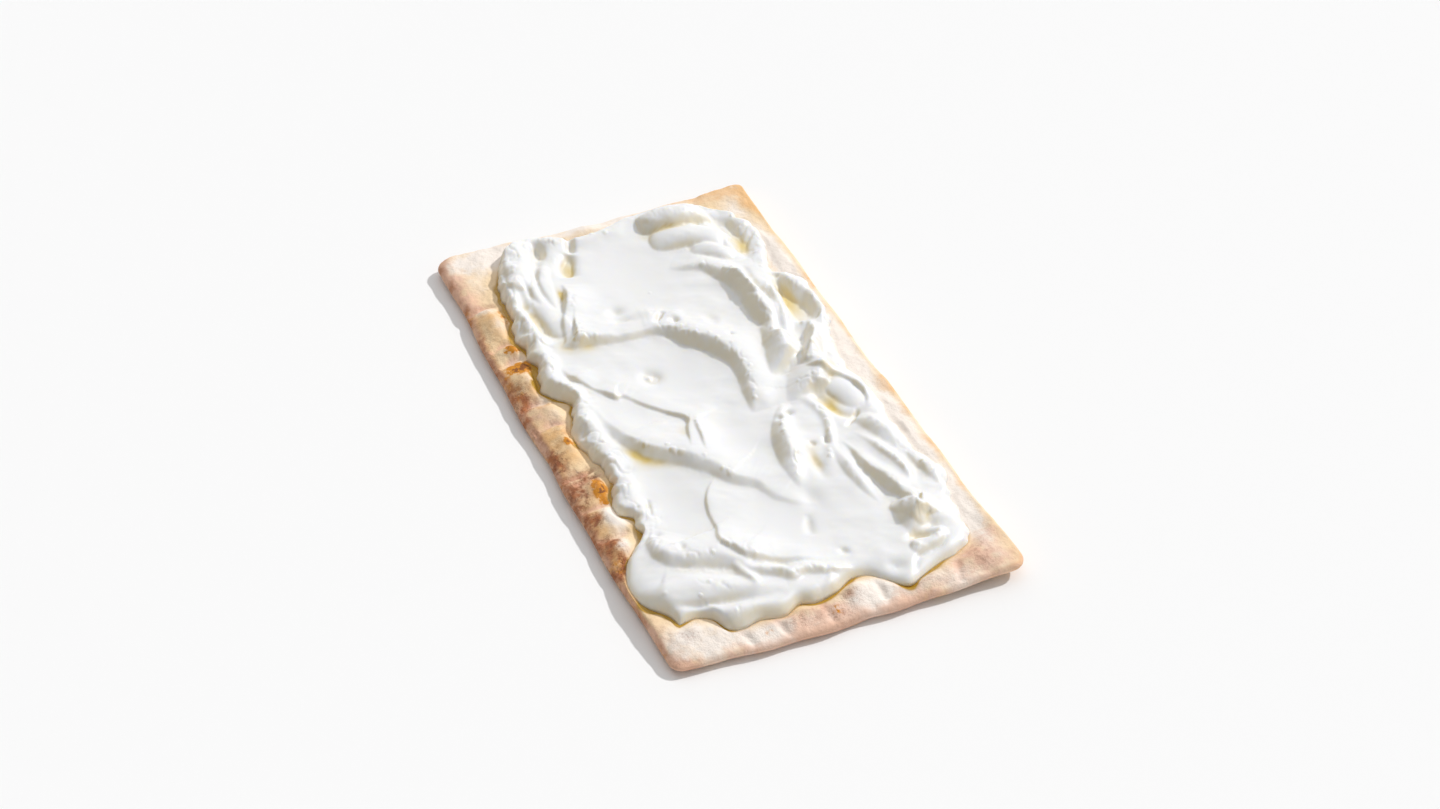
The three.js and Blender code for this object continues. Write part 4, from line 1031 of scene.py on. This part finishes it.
class Recipe:
    """Builds one node material with short calls."""

    def __init__(self, name):
        self.material = bpy.data.materials.new(name)
        self.material.use_nodes = True
        self.tree = self.material.node_tree
        self.shader = self.tree.nodes["Principled BSDF"]
        self.place = self.tree.nodes.new("ShaderNodeTexCoord").outputs["Object"]

    def node(self, kind, settings=None, **inputs):
        node = self.tree.nodes.new(kind)
        for key, value in (settings or {}).items():
            setattr(node, key, value)
        for key, value in inputs.items():
            self.feed(node.inputs[key], value)
        return node

    def feed(self, socket, value):
        if isinstance(value, bpy.types.NodeSocket):
            self.tree.links.new(value, socket)
        else:
            socket.default_value = value

    def shade(self, name, value):
        """Sets or links an input of the material's shader."""
        self.feed(self.shader.inputs[name], value)

    def noise(self, size_mm, detail, roughness):
        scale = 1 / (size_mm * METRES)
        inputs = {"Vector": self.place, "Scale": scale, "Detail": detail, "Roughness": roughness}
        return self.node("ShaderNodeTexNoise", **inputs).outputs["Fac"]

    def dots(self, size_mm):
        """How far each point is from the nearest of many scattered dots, as a share of the size."""
        node = self.node("ShaderNodeTexVoronoi", Vector=self.place, Scale=1 / (size_mm * METRES))
        return node.outputs["Distance"]

    def mask(self, name):
        return self.node("ShaderNodeAttribute", {"attribute_name": name}).outputs["Fac"]

    def ranged(self, value, low, high, start=0.0, end=1.0):
        inputs = {"Value": value, "From Min": low, "From Max": high, "To Min": start, "To Max": end}
        node = self.node("ShaderNodeMapRange", {"interpolation_type": "SMOOTHSTEP"}, **inputs)
        return node.outputs["Result"]

    def maths(self, operation, first, second):
        node = self.node("ShaderNodeMath", {"operation": operation})
        self.feed(node.inputs[0], first)
        self.feed(node.inputs[1], second)
        return node.outputs["Value"]

    def mix(self, share, first, second):
        node = self.node("ShaderNodeMix", {"data_type": "RGBA"})
        self.feed(node.inputs["Factor"], share)
        self.feed(node.inputs[MIX_FIRST], first)
        self.feed(node.inputs[MIX_SECOND], second)
        return node.outputs[MIX_RESULT]

    def bump(self, height, depth_mm, under=None):
        node = self.node("ShaderNodeBump", Height=height, Strength=1.0, Distance=depth_mm * METRES)
        if under is not None:
            self.feed(node.inputs["Normal"], under)
        return node.outputs["Normal"]


FLOUR = (0.94, 0.85, 0.77, 1)
DOUGH = (0.91, 0.69, 0.43, 1)
PINK = (0.81, 0.50, 0.35, 1)
GOLDEN = (0.86, 0.52, 0.23, 1)
BROWN = (0.36, 0.12, 0.05, 1)
RUSSET = (0.46, 0.16, 0.055, 1)
BURN = (0.66, 0.25, 0.008, 1)
CHAR = (0.26, 0.085, 0.01, 1)
# dark gold of oil, also painted shade along the labneh's foot
OIL_AND_SHADE_GOLD = (0.50, 0.28, 0.03, 1)
LABNEH_WHITE = (0.84, 0.84, 0.84, 1)
# beige that paints shade on faces turned from the lights, and whey in hollows
LABNEH_SHADE_AND_WHEY_BEIGE = (0.84, 0.78, 0.64, 1)
# gold of oil and whey in hollows, and painted shade on shaded walls
LABNEH_OIL_AND_SHADE_GOLD = (0.74, 0.58, 0.22, 1)
FLOOR_WHITE = (0.93, 0.93, 0.93, 1)

# Noises: size in millimetres, detail and roughness.
BROAD = (16, 4, 0.55)
MIDDLING = (5, 5, 0.55)
FINE = (1.1, 3, 0.7)
SCORCH = (2.4, 4, 0.55)
STAINS = (3.2, 6, 0.7)
TINT_BREAKUP_NOISE = (9, 3, 0.55)
BROAD_SHARE = 0.9
MIDDLING_SHARE = 0.5
# Each coat over the dough: its mask, the noise that breaks it up, the range of that noise and the strengths
# that it gives, the strengths between which the coat comes in, and its colour.
COATS = [
    ("toast", "uneven", (0.4, 1.0, 0.3, 1.5), (0, 1), GOLDEN),
    ("pink", "middling", (0.25, 0.75, 0.4, 1.3), (0, 1.1), PINK),
    ("flour", "uneven", (0.5, 0.9, 1.3, 0.5), (0, 1), FLOUR),
    ("russet", "middling", (0.35, 0.65, 0.5, 1.2), (0.1, 1.2), RUSSET),
    ("burn", "scorch", (0.35, 0.65, 0.3, 1.5), (0.15, 0.9), BURN),
    ("burn", "scorch", (0.35, 0.65, 0.3, 1.5), (1.6, 3.6), CHAR),
]
# Other ranges of a noise or mask, with the strengths that they give where these aren't 0 to 1.
FLOUR_FLECKS = (0.55, 0.8, 0, 0.35)
STAINED = (0.47, 0.66)
PITTED = (0.1, 0.36, 0.6, 0)
OILY = (0.25, 0.75)
TINT_BREAKUP_RANGE = (0.3, 0.6, 0.6, 1)
PIT_SIZE = 1.6
PORES_EVERYWHERE = 0.1
PORE_BROWN = 0.6
PORE_DEPTH = 0.8  # as a share of the grain's
GRAIN_DEPTH = 0.3
BUBBLE_DEPTH = 0.5
CRUST_ROUGHNESS = 0.75
OIL_ROUGHNESS = 0.25
LABNEH_ROUGHNESS = 0.42
LABNEH_SCATTER = (1.0, 0.9, 0.7)  # for red, green and blue light
LABNEH_SCATTER_DEPTH = 0.7
FLOOR_ROUGHNESS = 0.9


def bread_material():
    recipe = Recipe("bread_crust")
    middling = recipe.noise(*MIDDLING)
    broad = recipe.maths("MULTIPLY", recipe.noise(*BROAD), BROAD_SHARE)
    uneven = recipe.maths("ADD", broad, recipe.maths("MULTIPLY", middling, MIDDLING_SHARE))
    noises = {"uneven": uneven, "middling": middling, "scorch": recipe.noise(*SCORCH)}
    colour = DOUGH
    for mask, noise, breaks, comes_in, coat in COATS:
        strength = recipe.maths("MULTIPLY", recipe.mask(mask), recipe.ranged(noises[noise], *breaks))
        if mask == "flour":
            strength = recipe.maths("ADD", strength, recipe.ranged(middling, *FLOUR_FLECKS))
        colour = recipe.mix(recipe.ranged(strength, *comes_in), colour, coat)
    pits = recipe.ranged(recipe.dots(PIT_SIZE), *PITTED)
    stains = recipe.ranged(recipe.noise(*STAINS), *STAINED)
    speckle = recipe.maths("ADD", recipe.mask("speckle"), PORES_EVERYWHERE)
    pores = recipe.maths("MULTIPLY", speckle, recipe.maths("MAXIMUM", pits, stains))
    colour = recipe.mix(recipe.maths("MULTIPLY", pores, PORE_BROWN), colour, BROWN)
    # Oil gold, which also paints shade along the labneh's foot.
    oil_and_foot_shade = recipe.ranged(recipe.mask("oil_and_foot_shade"), *OILY)
    recipe.shade("Base Color", recipe.mix(oil_and_foot_shade, colour, OIL_AND_SHADE_GOLD))
    roughness = recipe.ranged(oil_and_foot_shade, 0, 1, CRUST_ROUGHNESS, OIL_ROUGHNESS)
    recipe.shade("Roughness", roughness)
    sunken = recipe.maths("MULTIPLY", pores, PORE_DEPTH)
    grain = recipe.bump(recipe.maths("SUBTRACT", recipe.noise(*FINE), sunken), GRAIN_DEPTH)
    recipe.shade("Normal", recipe.bump(middling, BUBBLE_DEPTH, grain))
    return recipe.material


def labneh_material():
    recipe = Recipe("labneh")
    # The warm tint is painted shade on faces turned from the lights, and whey in hollows.
    tint_breakup = recipe.ranged(recipe.noise(*TINT_BREAKUP_NOISE), *TINT_BREAKUP_RANGE)
    shade_and_whey_tint = recipe.maths("MULTIPLY", recipe.mask("shade_and_whey_warmth"), tint_breakup)
    colour = recipe.mix(shade_and_whey_tint, LABNEH_WHITE, LABNEH_SHADE_AND_WHEY_BEIGE)
    # The gold is oil and whey, with painted shade on shaded walls.
    colour = recipe.mix(recipe.mask("depth"), colour, LABNEH_OIL_AND_SHADE_GOLD)
    recipe.shade("Base Color", colour)
    recipe.shade("Roughness", LABNEH_ROUGHNESS)
    recipe.shade("Subsurface Weight", 1.0)
    recipe.shade("Subsurface Radius", LABNEH_SCATTER)
    recipe.shade("Subsurface Scale", LABNEH_SCATTER_DEPTH * METRES)
    return recipe.material


# Stage

FLOOR_HALF = 3000
# Each sun: azimuth, elevation and angle across in degrees, and strength.
SUNS = {
    "key": (10, 39, 2.5, 2.26),
    "soft back light": (75, 48, 80, 0.9),
    "soft front light": (-85, 50, 90, 0.34),
}
WORLD_WHITE = (1, 1, 1, 1)
WORLD_STRENGTH = 0.28


def make_floor():
    half = FLOOR_HALF * METRES
    corners = [(-half, -half, 0), (half, -half, 0), (half, half, 0), (-half, half, 0)]
    mesh = bpy.data.meshes.new("floor")
    mesh.from_pydata(corners, [], [(0, 1, 2, 3)])
    recipe = Recipe("floor")
    recipe.shade("Base Color", FLOOR_WHITE)
    recipe.shade("Roughness", FLOOR_ROUGHNESS)
    mesh.materials.append(recipe.material)
    floor = add_object("floor", mesh)


def direction(azimuth_deg, elevation_deg):
    azimuth = math.radians(azimuth_deg)
    elevation = math.radians(elevation_deg)
    level = math.cos(elevation)
    return Vector((math.cos(azimuth) * level, math.sin(azimuth) * level, math.sin(elevation)))


def make_camera():
    back = direction(CAMERA_AZIMUTH, CAMERA_ELEVATION)
    data = bpy.data.cameras.new("camera")
    data.sensor_width = SENSOR_WIDTH
    data.lens = SENSOR_WIDTH * FOCAL_PIXELS / IMAGE_WIDTH
    camera = add_object("camera", data)
    camera.location = Vector(to_frame(*CAMERA_TARGET)) + back * CAMERA_DISTANCE * METRES
    camera.rotation_euler = back.to_track_quat("Z", "Y").to_euler()
    bpy.context.scene.camera = camera


def make_lights():
    for name, (azimuth, elevation, angle, strength) in SUNS.items():
        data = bpy.data.lights.new(name, "SUN")
        data.energy = strength
        data.angle = math.radians(angle)
        sun = add_object(name, data)
        sun.rotation_euler = direction(azimuth, elevation).to_track_quat("Z", "Y").to_euler()
    world = bpy.data.worlds.new("world")
    world.use_nodes = True
    background = world.node_tree.nodes["Background"]
    background.inputs["Color"].default_value = WORLD_WHITE
    background.inputs["Strength"].default_value = WORLD_STRENGTH
    bpy.context.scene.world = world
    bpy.context.scene.view_settings.view_transform = "Standard"


labneh = make_labneh()
labneh.data.materials.append(labneh_material())
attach(labneh, "root")
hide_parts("labneh")

bread = make_bread()
bread.data.materials.append(bread_material())
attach(bread, "root")
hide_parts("bread")

make_floor()
make_camera()
make_lights()
